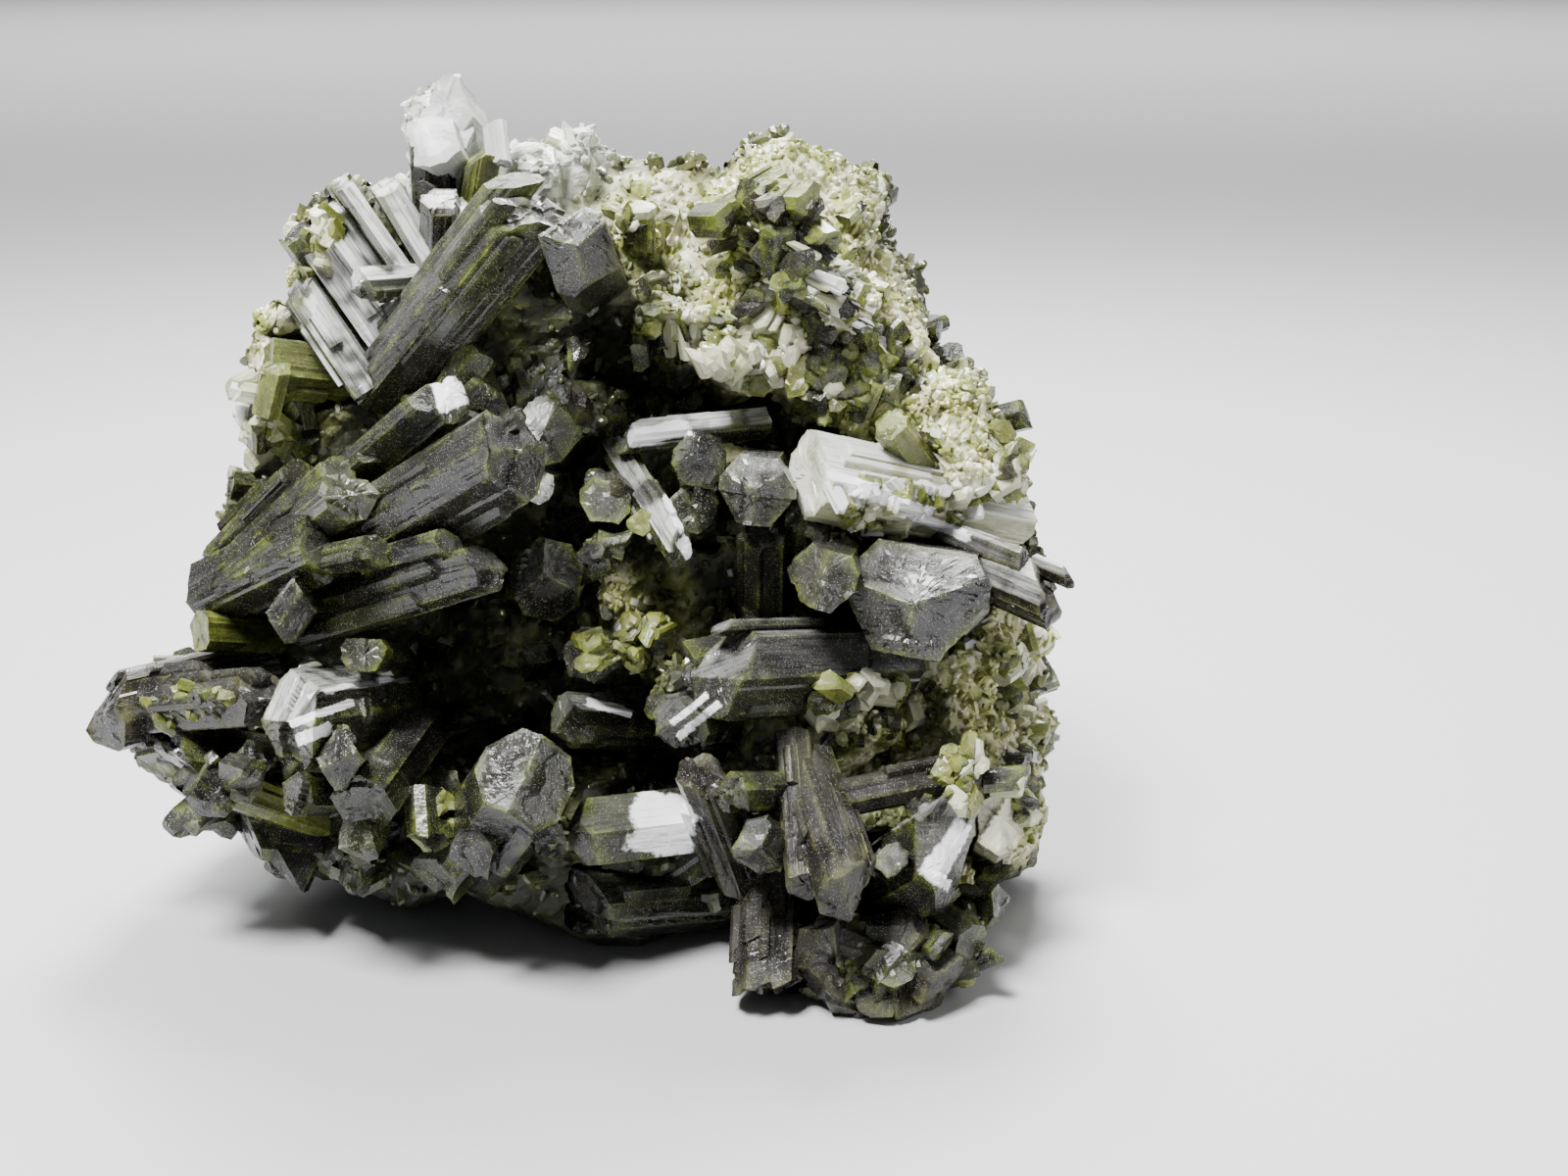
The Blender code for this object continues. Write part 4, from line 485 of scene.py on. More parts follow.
# Shape of every crystal
prismShape = {
    "cornerLean": (0.82, 0.57),   # how the facet between two broad faces leans
    "columnWidth": 0.20,          # mm between striations
    "ringStep": 1.6,              # mm between rings along the crystal
    "capStep": 0.29,              # mm between rings over the end
    "striation": (0.025, 0.070),  # mm that the striations cut in: at no painted sheen and at full painted sheen
    "stripe": (1.2, 3.0),         # mm width of the parallel members of one crystal
    "stripeStep": (0.13, 0.24),   # mm that one member stands back from another
    "endStep": (0.7, 1.3),        # mm that its end stands back
    "members": 40,                # the most that a crystal has
    "flush": (0.4, 0.6),          # share of them that don't stand back: at the side, at the end
    "paintedSheenFrom": 0.45,            # how much a face looks to the light where its painted sheen starts,
    "paintedSheenRange": 0.40,           # and by how much more where it is full
    "paintedSheenMost": 1.2,
    "fullPaintedSheen": 0.5,             # painted sheen strength from which the strongest of each pair above counts
    "leastSlope": 0.25,           # how steeply the end planes stand at most
    "ledgesPerWidth": 0.7,        # bands that stand proud or back, for each mm of width
    "ledgeReach": (0.03, 0.12),   # half their share of the way round
    "ledgeRise": 0.30,            # mm
    "ledgeSlope": 0.012,          # share of the length over which a band starts and stops
    "unevenness": 0.012,          # mm
    "rimWidth": 0.16,             # mm width of the rims with painted glow, on the sides and at the end
    "endRimWidth": 0.35,
    "terrace": 0.26,              # mm height and size of the steps on the end
    "terraceSize": 1.5,
    "frost": 0.03,                # mm roughness of the end
}
riderShape = {
    "perMillimetre": 0.60,        # members on the faces of a crystal, for each mm across it
    "across": (0.7, 2.0),
    "stand": (0.12, 0.45),        # mm that they stand out
    "detail": 1.7,                # how much coarser they are made
    "endOn": 0.78,                # a crystal that points at the viewer as much as this has none
    "slide": 0.32,                # share of the face by which they may lie off its middle
    "start": (0.05, 0.65),        # shares of the crystal's length: where they start,
    "run": (0.25, 0.7),           # how long they are,
    "stop": (0.86, 1.0),          # and where they stop at most
    "rim": 0.35,                  # how much painted glow their edges get
}

# Painted sheen: how silvery the cleaved faces of each crystal are painted where they look up to the light.
# The same number also sets how deep its striations and steps cut
keyLightWay = unit((-0.20, -0.40, 0.90))
paintedSheenOf = {
    "others": 0.05, "upper_left_slabs": 2.0, "left_bright_bar": 1.8, "bright_blade": 1.0,
    "bright_striated_prism": 0.6, "leaf_crystal": 0.08, "stepped_crystal": 0.9, "highlight_block": 0.6,
    "pocket_block": 0.5, "left_green_block": 0.4, "top_grey_prisms": 0.7, "grey_cube_crystal": 0.7,
    "pale_slab": 1.5, "right_pale_block": 0.8, "projecting_prism": 0.6, "large_frosted_crystal": 0.7,
    "cracked_crystal": 0.6, "big_dark_crystal": 0.08, "striated_prism": 0.25, "centre_block": 0.2,
    "top_blade": 0.15, "far_left_prism": 0.02, "lower_right_block": 0.2,
}
# Crystals with flat faces: no members on them and no stripes
plainCrystals = ("leaf_crystal", "grey_cube_crystal", "lower_block", "under_slab", "end_on_crystal")


# Outline of the cross-section: the nearest of eight straight sides in every direction
def outline(width, thickness, trim, rng, columnWidth):
    lean = unit(prismShape["cornerLean"])
    normals = [(1, 0), (-1, 0), (0, 1), (0, -1)]
    reach = [width / 2, width / 2, thickness / 2, thickness / 2]
    for (sideX, sideY), share in zip(((1, 1), (-1, 1), (-1, -1), (1, -1)), trim):
        normals.append((sideX * lean[0], sideY * lean[1]))
        reach.append(lean[0] * width / 2 + lean[1] * thickness / 2 - share * min(width, thickness) / 2)
    normals = np.array(normals, dtype=float)
    turn = np.linspace(0.0, 2.0 * math.pi, 2880, endpoint=False)
    rays = np.stack([np.cos(turn), np.sin(turn)], axis=1)
    facing = rays @ normals.T
    radius = np.where(facing > 1e-6, np.array(reach) / np.maximum(facing, 1e-6), 1e9)
    side = radius.argmin(axis=1)
    corners = np.nonzero(side != np.roll(side, 1))[0]
    points, sides, rims = [], [], []
    for start, stop in zip(corners, np.roll(corners, -1)):
        first = rays[start] * radius[start, side[start]]
        last = rays[stop] * radius[stop, side[stop]]
        span = np.linalg.norm(last - first)
        count = max(2, int(span / columnWidth))
        gaps = rng.uniform(0.45, 1.55, count)
        share = np.concatenate([[0.0], np.cumsum(gaps) / gaps.sum()])[:-1]
        points.append(first + (last - first) * share[:, None])
        sides.append(np.full(count, side[start]))
        rims.append(np.minimum(share, 1.0 - share) * span)
    return np.concatenate(points), np.concatenate(sides), np.concatenate(rims), normals


# Stripes across a crystal: for any position, how far its member stands back at the side and end
def stripes(span, rng):
    count = prismShape["members"]
    edges = np.cumsum(rng.uniform(*prismShape["stripe"], count) * max(1.0, span / 4.5)) - span / 2 - 1.0
    side, end = [np.where(rng.uniform(size=count + 1) < flush, 0.0, rng.uniform(0.2, 1.0, count + 1))
                 for flush in prismShape["flush"]]
    return lambda position: (side[np.searchsorted(edges, position)], end[np.searchsorted(edges, position)])


# Across, through and along a crystal, and its length
def prismFrame(spec):
    axis = unit(spec["tip"] - spec["root"])
    through = unit(spec["faces"] - axis * spec["faces"].dot(axis))
    return np.stack([np.cross(through, axis), through, axis]), np.linalg.norm(spec["tip"] - spec["root"])


# Thin members that lie along the faces of a crystal, with ends like its own
def riders(spec, rng):
    turn, length = prismFrame(spec)
    if turn[2] @ heading(0.0, 0.3, 1.0) > riderShape["endOn"] or spec["paintedSheen"] >= 2.0 or spec["plain"]:
        return []
    width, thickness = spec["width"], spec["thickness"]
    found = []
    for _ in range(int(riderShape["perMillimetre"] * (width + thickness))):
        broad = rng.uniform() < width / (width + thickness)
        sizes = rng.uniform(*riderShape["across"], 2) * min(1.0, min(width, thickness) / 3.0)
        stand = rng.uniform(*riderShape["stand"])
        side = rng.choice((-1.0, 1.0))
        slide = rng.uniform(-riderShape["slide"], riderShape["slide"])
        if broad:
            middle = (slide * width, side * (thickness / 2 - sizes[1] / 2 + stand), 0.0)
        else:
            middle = (side * (width / 2 - sizes[0] / 2 + stand), slide * thickness, 0.0)
        start = rng.uniform(*riderShape["start"]) * length
        stop = min(start + rng.uniform(*riderShape["run"]) * length,
                   rng.uniform(*riderShape["stop"]) * length)
        base = spec["root"] + np.array(middle) @ turn
        found.append(dict(spec, root=base + turn[2] * start, tip=base + turn[2] * stop, width=sizes[0],
                          thickness=sizes[1], trim=None, ledges=0, rim=riderShape["rim"]))
    return found


# The planes that close the end: normals, and heights where they meet the axis
def endPlanes(spec, turn, length, rng):
    planes = []
    for number, way in enumerate(spec["ends"]):
        normal = turn @ heading(*way)
        least = prismShape["leastSlope"]
        if normal[2] < least:
            normal = unit(normal + np.array((0.0, 0.0, 2.0 * least - normal[2])))
        planes.append((normal, length - rng.uniform(0.0, 0.25) * number))
    return planes


# Bands along the sides: start and stop, middle and half reach in columns, and how far they stand proud
def sideLedges(spec, columns, detail, scale, rng):
    ledges = []
    for _ in range(int((spec["ledges"] + spec["width"] * prismShape["ledgesPerWidth"]) / detail)):
        start, stop = np.sort(rng.uniform(0.05, 0.97, 2))
        middle = rng.uniform(0, columns)
        reach = rng.uniform(*prismShape["ledgeReach"]) * columns
        ledges.append((start, stop, middle, reach, rng.uniform(-0.5, 1.0) * prismShape["ledgeRise"] * scale))
    return ledges


# A striated prism: its outline is carried from root to end; each column stops at the lowest of
# the sloping end planes, and rings that shrink to the middle close the end at that same height
def prism(spec, seed, detail=1.0):
    rng = np.random.default_rng(seed)
    turn, length = prismFrame(spec)
    width, thickness = spec["width"], spec["thickness"]
    trim = spec["trim"] or rng.uniform(0.25, 0.6, 4)
    profile, side, rimGap, normals = outline(width, thickness, trim, rng, prismShape["columnWidth"] * detail)
    columns = len(profile)
    paintedSilverSheen = spec.get("paintedSheen", paintedSheenOf["others"])
    plain = spec.get("plain", False)
    strong = 0.0 if plain else min(1.0, paintedSilverSheen / prismShape["fullPaintedSheen"])
    striation, stripeStep, endStep = [low + (high - low) * strong for low, high in (
        prismShape["striation"], prismShape["stripeStep"], prismShape["endStep"])]
    if plain:
        stripeStep, endStep = 0.0, 0.0
    stripeX, stripeY = stripes(width, rng), stripes(thickness, rng)
    scale = min(1.0, min(width, thickness) / 3.0)
    planes = endPlanes(spec, turn, length, rng)

    # Height of the end over any place, how near an edge of it that is, and how much it faces the light
    def height(x, y):
        levels = np.stack([level - (n[0] * x + n[1] * y) / n[2] for n, level in planes])
        ordered = np.sort(levels, axis=0)
        crease = ordered[1] - ordered[0] if len(planes) > 1 else np.full(x.shape, 9.0)
        back = stripeX(x)[1] + 0.35 * stripeY(y)[1]
        facing = np.array([n @ turn @ keyLightWay for n, _ in planes])[levels.argmin(axis=0)]
        return ordered[0] - back * endStep * scale, crease, facing

    # Sides: members stand back by stripes, and each column is a striation
    offset = stripeX(profile[:, 0])[0] * np.abs(normals[side][:, 1])
    offset = offset + stripeY(profile[:, 1])[0] * np.abs(normals[side][:, 0])
    fine = rng.uniform(0.0, 1.0, columns) ** 2 * striation
    fine = fine * np.clip(rimGap / 0.25, 0.0, 1.0)
    inward = offset * stripeStep * scale + fine
    top = height(profile[:, 0], profile[:, 1])[0]
    rings = max(2, int(length / prismShape["ringStep"] / detail))
    share = np.linspace(0.0, 1.0, rings + 1) + np.concatenate(
        [[0.0], rng.uniform(-0.3, 0.3, rings - 1) / rings, [0.0]])
    ledges = sideLedges(spec, columns, detail, scale, rng)
    slope = prismShape["ledgeSlope"]
    for start, stop, *_ in ledges:
        share = np.concatenate([share, [start, start + slope, stop, stop + slope]])
    share = np.unique(np.clip(share, 0.0, 1.0))
    proud = np.zeros((len(share), columns)) - inward
    columnNumber = np.arange(columns)[None, :]
    for start, stop, middle, reach, rise in ledges:
        apart = np.abs((columnNumber - middle + columns / 2) % columns - columns / 2)
        run = (share[:, None] > start) & (share[:, None] <= stop)
        proud = proud + rise * (run & (apart < reach))
    proud = proud + rng.normal(0.0, prismShape["unevenness"], proud.shape)
    sideNormal = normals[side]
    x = profile[:, 0] + proud * sideNormal[:, 0]
    y = profile[:, 1] + proud * sideNormal[:, 1]
    z = share[:, None] * top
    rim = np.exp(-rimGap / prismShape["rimWidth"])[None, :] * np.ones((len(share), 1))
    rim = np.maximum(rim, np.exp(-(1.0 - share[:, None]) * length / prismShape["endRimWidth"]) * 0.9)
    arc = np.cumsum(np.linalg.norm(profile - np.roll(profile, 1, axis=0), axis=1))
    sideMap = np.stack([np.broadcast_to(arc, x.shape), z], axis=-1)

    # End: the last ring shrinks to the middle
    capRings = max(2, int(min(width, thickness) / 2 / (prismShape["capStep"] * detail)))
    shrink = np.linspace(1.0, 0.0, capRings + 1)[1:-1, None]
    capX, capY = x[-1] * shrink, y[-1] * shrink
    capZ, capCrease, capFacing = height(capX, capY)
    flat = np.stack([capX.ravel(), capY.ravel(), capZ.ravel() + seed], axis=1)
    rough = latticeNoise(flat, 0.8, seed % 97) + 0.7 * latticeNoise(flat, 0.35, seed % 89)
    capZ = capZ + rough.reshape(capX.shape) * prismShape["frost"] * scale * shrink
    terrace = np.round(latticeNoise(flat, prismShape["terraceSize"], seed % 83) * 2.4) / 2.4
    capZ = capZ + terrace.reshape(capX.shape) * prismShape["terrace"] * scale
    sideFacing = (normals @ turn[:2] @ keyLightWay)[side]
    facing = np.concatenate([np.broadcast_to(sideFacing, x.shape).ravel(), capFacing.ravel(),
                             [capFacing.mean(), 0.0]])
    # Painted sheen: faces that look toward the key light are painted silvery
    paintedSheen = (facing - prismShape["paintedSheenFrom"] + 0.4 * max(0.0, paintedSilverSheen - 1.0)) / prismShape["paintedSheenRange"]
    paintedSheen = np.clip(paintedSheen, 0.0, 1.0) * min(paintedSilverSheen, prismShape["paintedSheenMost"])
    capRim = np.maximum(np.exp(-capCrease / 0.25) * 0.8, np.exp(-(1.0 - shrink) * width / 2 / 0.3))
    middleZ = capZ[-1].mean() if len(capZ) else top.mean()
    local = np.concatenate([
        np.stack([x, y, z], axis=-1).reshape(-1, 3),
        np.stack([capX, capY, capZ], axis=-1).reshape(-1, 3),
        [[0.0, 0.0, middleZ], [0.0, 0.0, 0.0]]])
    points = spec["root"] + local @ turn
    total = len(share) + len(capX)
    quads = gridFaces(total, columns, 0)
    triangles = np.concatenate([
        fanFaces((total - 1) * columns, columns, total * columns, False),
        fanFaces(0, columns, total * columns + 1, True)])
    endFace = np.concatenate([np.zeros(len(share) * columns), np.ones(capX.size), [1.0, 0.0]])
    rims = np.concatenate([rim.ravel(), capRim.ravel(), [0.0, 0.0]]) * spec.get("rim", 1.0)
    surface = np.concatenate([sideMap.reshape(-1, 2), np.stack([capX, capY], axis=-1).reshape(-1, 2) + 40.0,
                              [[40.0, 40.0], [0.0, 0.0]]])
    count = len(points)
    return {"points": points, "quads": quads, "triangles": triangles, "endFace": endFace, "rim": rims,
            "tone": np.full(count, rng.uniform(0.0, 1.0)), "paintedSheen": paintedSheen, "map": surface}


# One object from many prisms
def joinParts(name, parts):
    quads, triangles, first = [], [], 0
    for part in parts:
        quads.append(part["quads"] + first)
        triangles.append(part["triangles"] + first)
        first += len(part["points"])
    gather = {key: np.concatenate([part[key] for part in parts])
              for key in ("points", "endFace", "rim", "tone", "paintedSheen", "map")}
    attributes = {key: gather[key] for key in ("endFace", "rim", "tone", "paintedSheen")}
    # Painted highlights, where faces would reflect the lamps
    attributes["bright"] = paintedHighlightAmount(gather["points"])
    return buildMesh(name, gather["points"], np.concatenate(quads), np.concatenate(triangles), attributes,
                     gather["map"])


# Short forms for shader nodes
def addNode(tree, kind, **settings):
    node = tree.nodes.new(kind)
    for key, value in settings.items():
        setattr(node, key, value)
    return node


def mathNode(tree, operation, first, second=None, third=None, clamp=False):
    node = addNode(tree, "ShaderNodeMath", operation=operation, use_clamp=clamp)
    for socket, value in zip(node.inputs, (first, second, third)):
        if value is None:
            continue
        if isinstance(value, (int, float)):
            socket.default_value = value
        else:
            tree.links.new(value, socket)
    return node.outputs[0]


def mixColour(tree, amount, first, second, blend="MIX"):
    node = addNode(tree, "ShaderNodeMix", data_type="RGBA", blend_type=blend)
    for socket, value in zip((node.inputs[0], node.inputs[6], node.inputs[7]), (amount, first, second)):
        if isinstance(value, (int, float)):
            socket.default_value = value
        elif isinstance(value, tuple):
            socket.default_value = (*value, 1.0)
        else:
            tree.links.new(value, socket)
    return node.outputs[2]


def smoothStep(tree, value, low, high, least=0.0, most=1.0):
    node = addNode(tree, "ShaderNodeMapRange", interpolation_type="SMOOTHSTEP")
    tree.links.new(value, node.inputs[0])
    for socket, number in zip(node.inputs[1:5], (low, high, least, most)):
        socket.default_value = number
    return node.outputs[0]


def noiseNode(tree, vector, scale, detail=3.0, roughness=0.55):
    node = addNode(tree, "ShaderNodeTexNoise")
    tree.links.new(vector, node.inputs["Vector"])
    node.inputs["Scale"].default_value = scale
    node.inputs["Detail"].default_value = detail
    node.inputs["Roughness"].default_value = roughness
    return node.outputs["Fac"]


def attributeNode(tree, name):
    return addNode(tree, "ShaderNodeAttribute", attribute_name=name).outputs["Fac"]


def objectPlace(tree):
    return addNode(tree, "ShaderNodeTexCoord").outputs["Object"]


def newMaterial(name):
    material = bpy.data.materials.new(name)
    material.use_nodes = True
    return material, material.node_tree, material.node_tree.nodes["Principled BSDF"]


def addBump(tree, shader, height, strength, distance):
    bump = addNode(tree, "ShaderNodeBump")
    bump.inputs["Strength"].default_value = strength
    bump.inputs["Distance"].default_value = distance
    tree.links.new(height, bump.inputs["Height"])
    tree.links.new(bump.outputs[0], shader.inputs["Normal"])


# Scales are repeats per metre, and each pair is where a mask starts and where it is full
maskShape = {
    "lines": (5.0, 0.22, 1.0),      # striations: stretch across and along
    "patches": 420.0,
    "grain": 5200.0,
    "dusty": (0.40, 0.66),
    "specks": ((11000.0, 0.62), (7000.0, 0.82)),   # scale and rarity of small and large specks
    "speckSize": (0.40, 0.16),
    "ragged": (0.42, 0.62),         # how torn the glowing edges are
    "paintedSheenBands": (0.34, 0.60),    # painted sheen along the striations
    "paintedSheenParts": (300.0, 0.36, 0.54),            # scale and limits of where it is missing
    "paintedHighlightTear": (900.0, 1.1),     # scale and amount of the torn edge of the painted highlights
    "bright": (0.92, 1.22),
}


# Masks that every crystal shares: striations, frosted ends, dust specks, painted glow on the edges, painted
# sheen and painted highlights
def crystalMasks():
    tree = bpy.data.node_groups.new("crystalMasks", "ShaderNodeTree")
    spot = objectPlace(tree)
    along = addNode(tree, "ShaderNodeUVMap", uv_map="along").outputs["UV"]
    stretch = addNode(tree, "ShaderNodeMapping")
    tree.links.new(along, stretch.inputs["Vector"])
    stretch.inputs["Scale"].default_value = maskShape["lines"]
    lines = noiseNode(tree, stretch.outputs[0], 1.0, 4.0, 0.7)
    patches = noiseNode(tree, spot, maskShape["patches"], 3.0)
    grain = noiseNode(tree, spot, maskShape["grain"], 2.0)
    endFace = attributeNode(tree, "endFace")
    dusty = smoothStep(tree, patches, *maskShape["dusty"])
    dots = None
    for fineness, rarity in maskShape["specks"]:
        specks = addNode(tree, "ShaderNodeTexVoronoi")
        tree.links.new(spot, specks.inputs["Vector"])
        specks.inputs["Scale"].default_value = fineness
        split = addNode(tree, "ShaderNodeSeparateColor")
        tree.links.new(specks.outputs["Color"], split.inputs[0])
        crowded = mathNode(tree, "MULTIPLY_ADD", endFace, 0.06, split.outputs[0])
        crowded = mathNode(tree, "MULTIPLY_ADD", dusty, 0.13, crowded)
        chosen = smoothStep(tree, crowded, rarity + 0.12, rarity + 0.30)
        size = smoothStep(tree, specks.outputs["Distance"], *maskShape["speckSize"])
        shown = mathNode(tree, "MULTIPLY", size, chosen)
        dots = shown if dots is None else mathNode(tree, "MAXIMUM", dots, shown)
    ragged = smoothStep(tree, noiseNode(tree, spot, maskShape["patches"], 5.0, 0.75), *maskShape["ragged"])
    # Painted glow of light through the thin edges, torn by noise
    paintedGlow = mathNode(tree, "MULTIPLY", attributeNode(tree, "rim"), ragged, clamp=True)
    # Painted sheen along the striations, missing in places
    bands = smoothStep(tree, lines, *maskShape["paintedSheenBands"], 0.30, 1.0)
    scale, *limits = maskShape["paintedSheenParts"]
    parts = smoothStep(tree, noiseNode(tree, spot, scale, 2.0), *limits, 0.12, 1.0)
    paintedSilverSheen = mathNode(tree, "MULTIPLY", attributeNode(tree, "paintedSheen"), bands)
    paintedSilverSheen = mathNode(tree, "MULTIPLY", paintedSilverSheen, parts, clamp=True)
    whole = smoothStep(tree, lines, 0.30, 0.46, 0.62, 1.0)
    # Painted highlights with torn edges, kept to the striations
    scale, amount = maskShape["paintedHighlightTear"]
    torn = noiseNode(tree, spot, scale, 4.0, 0.7)
    torn = mathNode(tree, "MULTIPLY_ADD", torn, amount, attributeNode(tree, "bright"))
    bright = mathNode(tree, "MULTIPLY", smoothStep(tree, torn, *maskShape["bright"]), whole)
    output = tree.nodes.new("NodeGroupOutput")
    masks = {"lines": lines, "patches": patches, "grain": grain, "dust": dots, "dusty": dusty,
             "endFace": endFace, "paintedGlow": paintedGlow, "paintedSilverSheen": paintedSilverSheen, "bright": bright}
    for name, value in masks.items():
        tree.interface.new_socket(name, in_out="OUTPUT", socket_type="NodeSocketFloat")
        tree.links.new(value, output.inputs[name])
    return tree


crystalFinish = {
    # dark colour, lit colour, frosted end, painted glow of the edges, roughness, strength of that glow,
    # gloss
    "dark": ((0.0014, 0.0013, 0.0011), (0.0150, 0.0138, 0.0120), (0.0205, 0.0192, 0.0172),
             (0.098, 0.124, 0.012), 0.17, 0.70, 0.42),
    "olive": ((0.0030, 0.0030, 0.0020), (0.0245, 0.0235, 0.0175), (0.0330, 0.0312, 0.0260),
              (0.130, 0.164, 0.014), 0.17, 0.75, 0.42),
    "brown": ((0.0022, 0.0020, 0.0015), (0.0180, 0.0155, 0.0124), (0.0245, 0.0220, 0.0185),
              (0.092, 0.098, 0.016), 0.24, 0.55, 0.30),
    "yellow": ((0.0240, 0.0280, 0.0060), (0.1450, 0.1600, 0.0300), (0.1900, 0.2000, 0.0750),
               (0.280, 0.325, 0.040), 0.22, 0.60, 0.42),
    "pale": ((0.1900, 0.1920, 0.1100), (0.6800, 0.6700, 0.5000), (0.7000, 0.6950, 0.5600),
             (0.320, 0.370, 0.070), 0.28, 0.50, 0.42),
    "white": ((0.2800, 0.2900, 0.2750), (0.6600, 0.6700, 0.6600), (0.6900, 0.7000, 0.6900),
              (0.500, 0.520, 0.400), 0.45, 0.30, 0.30),
}
# What all the finishes share
crystalLook = {
    "streakLimits": (0.38, 0.68),
    "streak": 0.35,               # how much striations, patches and chance lighten a crystal
    "patch": 0.75,
    "chance": (0.35, -0.18),
    "deepGreen": (110.0, 0.50, 0.76, 0.30, 0.42),   # scale, limits, amount, share of the edge's colour
    "frostLimits": (0.38, 0.64),
    "frost": 0.9,
    "dust": (0.46, 0.45, 0.43),
    "dustAmount": 0.55,
    # colour of the painted sheen
    "paintedSilverSheen": (0.620, 0.620, 0.605),
    # colour of the painted highlights
    "bright": (0.860, 0.860, 0.870),
    "ior": 1.6,
    "relief": (0.45, 0.75),       # of striations and grain
    "bump": (0.55, 0.00008),
}


def crystalMaterial(name, masks):
    dark, lit, frosted, edge, roughness, paintedGlowStrength, gloss = crystalFinish[name]
    look = crystalLook
    material, tree, shader = newMaterial(name + "Crystal")
    out = addNode(tree, "ShaderNodeGroup", node_tree=masks).outputs
    streak = smoothStep(tree, out["lines"], *look["streakLimits"])
    amount = mathNode(tree, "MULTIPLY", streak, look["streak"])
    amount = mathNode(tree, "ADD", amount, mathNode(tree, "MULTIPLY", out["patches"], look["patch"]))
    tone = mathNode(tree, "MULTIPLY_ADD", attributeNode(tree, "tone"), *look["chance"])
    amount = mathNode(tree, "ADD", amount, tone, clamp=True)
    colour = mixColour(tree, amount, dark, lit)
    scale, low, high, most, share = look["deepGreen"]
    deep = smoothStep(tree, noiseNode(tree, objectPlace(tree), scale, 2.0), low, high, 0.0, most)
    colour = mixColour(tree, deep, colour, tuple(part * share for part in edge))
    frost = smoothStep(tree, out["patches"], *look["frostLimits"], 0.0, look["frost"])
    endAmount = mathNode(tree, "MULTIPLY", out["endFace"], frost)
    colour = mixColour(tree, endAmount, colour, frosted)
    # Painted glow on the edges
    colour = mixColour(tree, mathNode(tree, "MULTIPLY", out["paintedGlow"], paintedGlowStrength), colour, edge)
    dust = mathNode(tree, "MULTIPLY", out["dust"], look["dustAmount"])
    colour = mixColour(tree, dust, colour, look["dust"])
    # Painted sheen over the colour
    colour = mixColour(tree, out["paintedSilverSheen"], colour, look["paintedSilverSheen"])
    # Painted highlights over the colour
    colour = mixColour(tree, out["bright"], colour, look["bright"])
    tree.links.new(colour, shader.inputs["Base Color"])
    rough = mathNode(tree, "MULTIPLY_ADD", out["dusty"], 0.12, roughness - 0.03)
    for mask, change in ((out["paintedSilverSheen"], -0.12), (endAmount, 0.10)):
        rough = mathNode(tree, "MULTIPLY_ADD", mask, change, rough)
    rough = mathNode(tree, "MULTIPLY_ADD", out["dust"], 0.2, rough, clamp=True)
    tree.links.new(rough, shader.inputs["Roughness"])
    shader.inputs["IOR"].default_value = look["ior"]
    shader.inputs["Specular IOR Level"].default_value = gloss
    lineRelief, grainRelief = look["relief"]
    relief = mathNode(tree, "MULTIPLY", out["grain"], grainRelief)
    addBump(tree, shader, mathNode(tree, "MULTIPLY_ADD", out["lines"], lineRelief, relief), *look["bump"])
    return material


masks = crystalMasks()
finishes = {name: crystalMaterial(name, masks) for name in crystalFinish}

crystalTriangles = 0
for number, (node, (finish, members)) in enumerate(crystalGroups.items()):
    members = [dict(spec, paintedSheen=paintedSheenOf.get(node, paintedSheenOf["others"]), plain=node in plainCrystals)
               for spec in members]
    parts = [prism(spec, 100 * number + order) for order, spec in enumerate(members)]
    rng = np.random.default_rng(5000 + number)
    parts += [prism(rider, 7000 + 10 * number + order, riderShape["detail"])
              for spec in members for order, rider in enumerate(riders(spec, rng))]
    piece = joinParts(node + "_facets", parts)
    piece.data.materials.append(finishes[finish])
    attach(piece, "root")
    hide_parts(node)
    crystalTriangles += sum(len(part["quads"]) * 2 + len(part["triangles"]) for part in parts)
print("crystals:", len(crystalGroups), "pieces,", crystalTriangles, "triangles")

# Crystals that close the gap in the left wall of the main pocket: root, tip and thickness in mm.
# The fused ones are made a little larger than the solids, so that they cover them
fusedGrowth = 1.03
pocketWall = [((-17.6, 5.4, 9.0), (-15.0, 2.2, 21.0), 5.2), ((-19.0, 8.2, 8.0), (-17.4, 5.4, 18.6), 4.4)]
wallCrystals = [dict(fusedCrystals[0], root=np.array(root), tip=np.array(tip), width=thickness,
                     thickness=thickness * 0.9) for root, tip, thickness in pocketWall]
parts = [prism(dict(spec, width=spec["width"] * fusedGrowth, thickness=spec["thickness"] * fusedGrowth),
               9000 + number)
         for number, spec in enumerate(fusedCrystals + wallCrystals)]
fused = joinParts("fused_crystals", parts)
fused.data.materials.append(finishes["olive"])
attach(fused, "root")
print("fused crystals:", len(parts))

# Relief of the rock's skin
rockShape = {
    "voxel": 0.50,          # mm between points of the rock's skin
    "lump": (3.4, 0.55),    # mm size and height of its lumps
    "grain": (1.25, 0.50),  # and of its grains
    "fine": (0.55, 0.10),
    "rest": (0.3, 1.5),     # height at which the relief starts, and over which it grows, above the flat rest
}
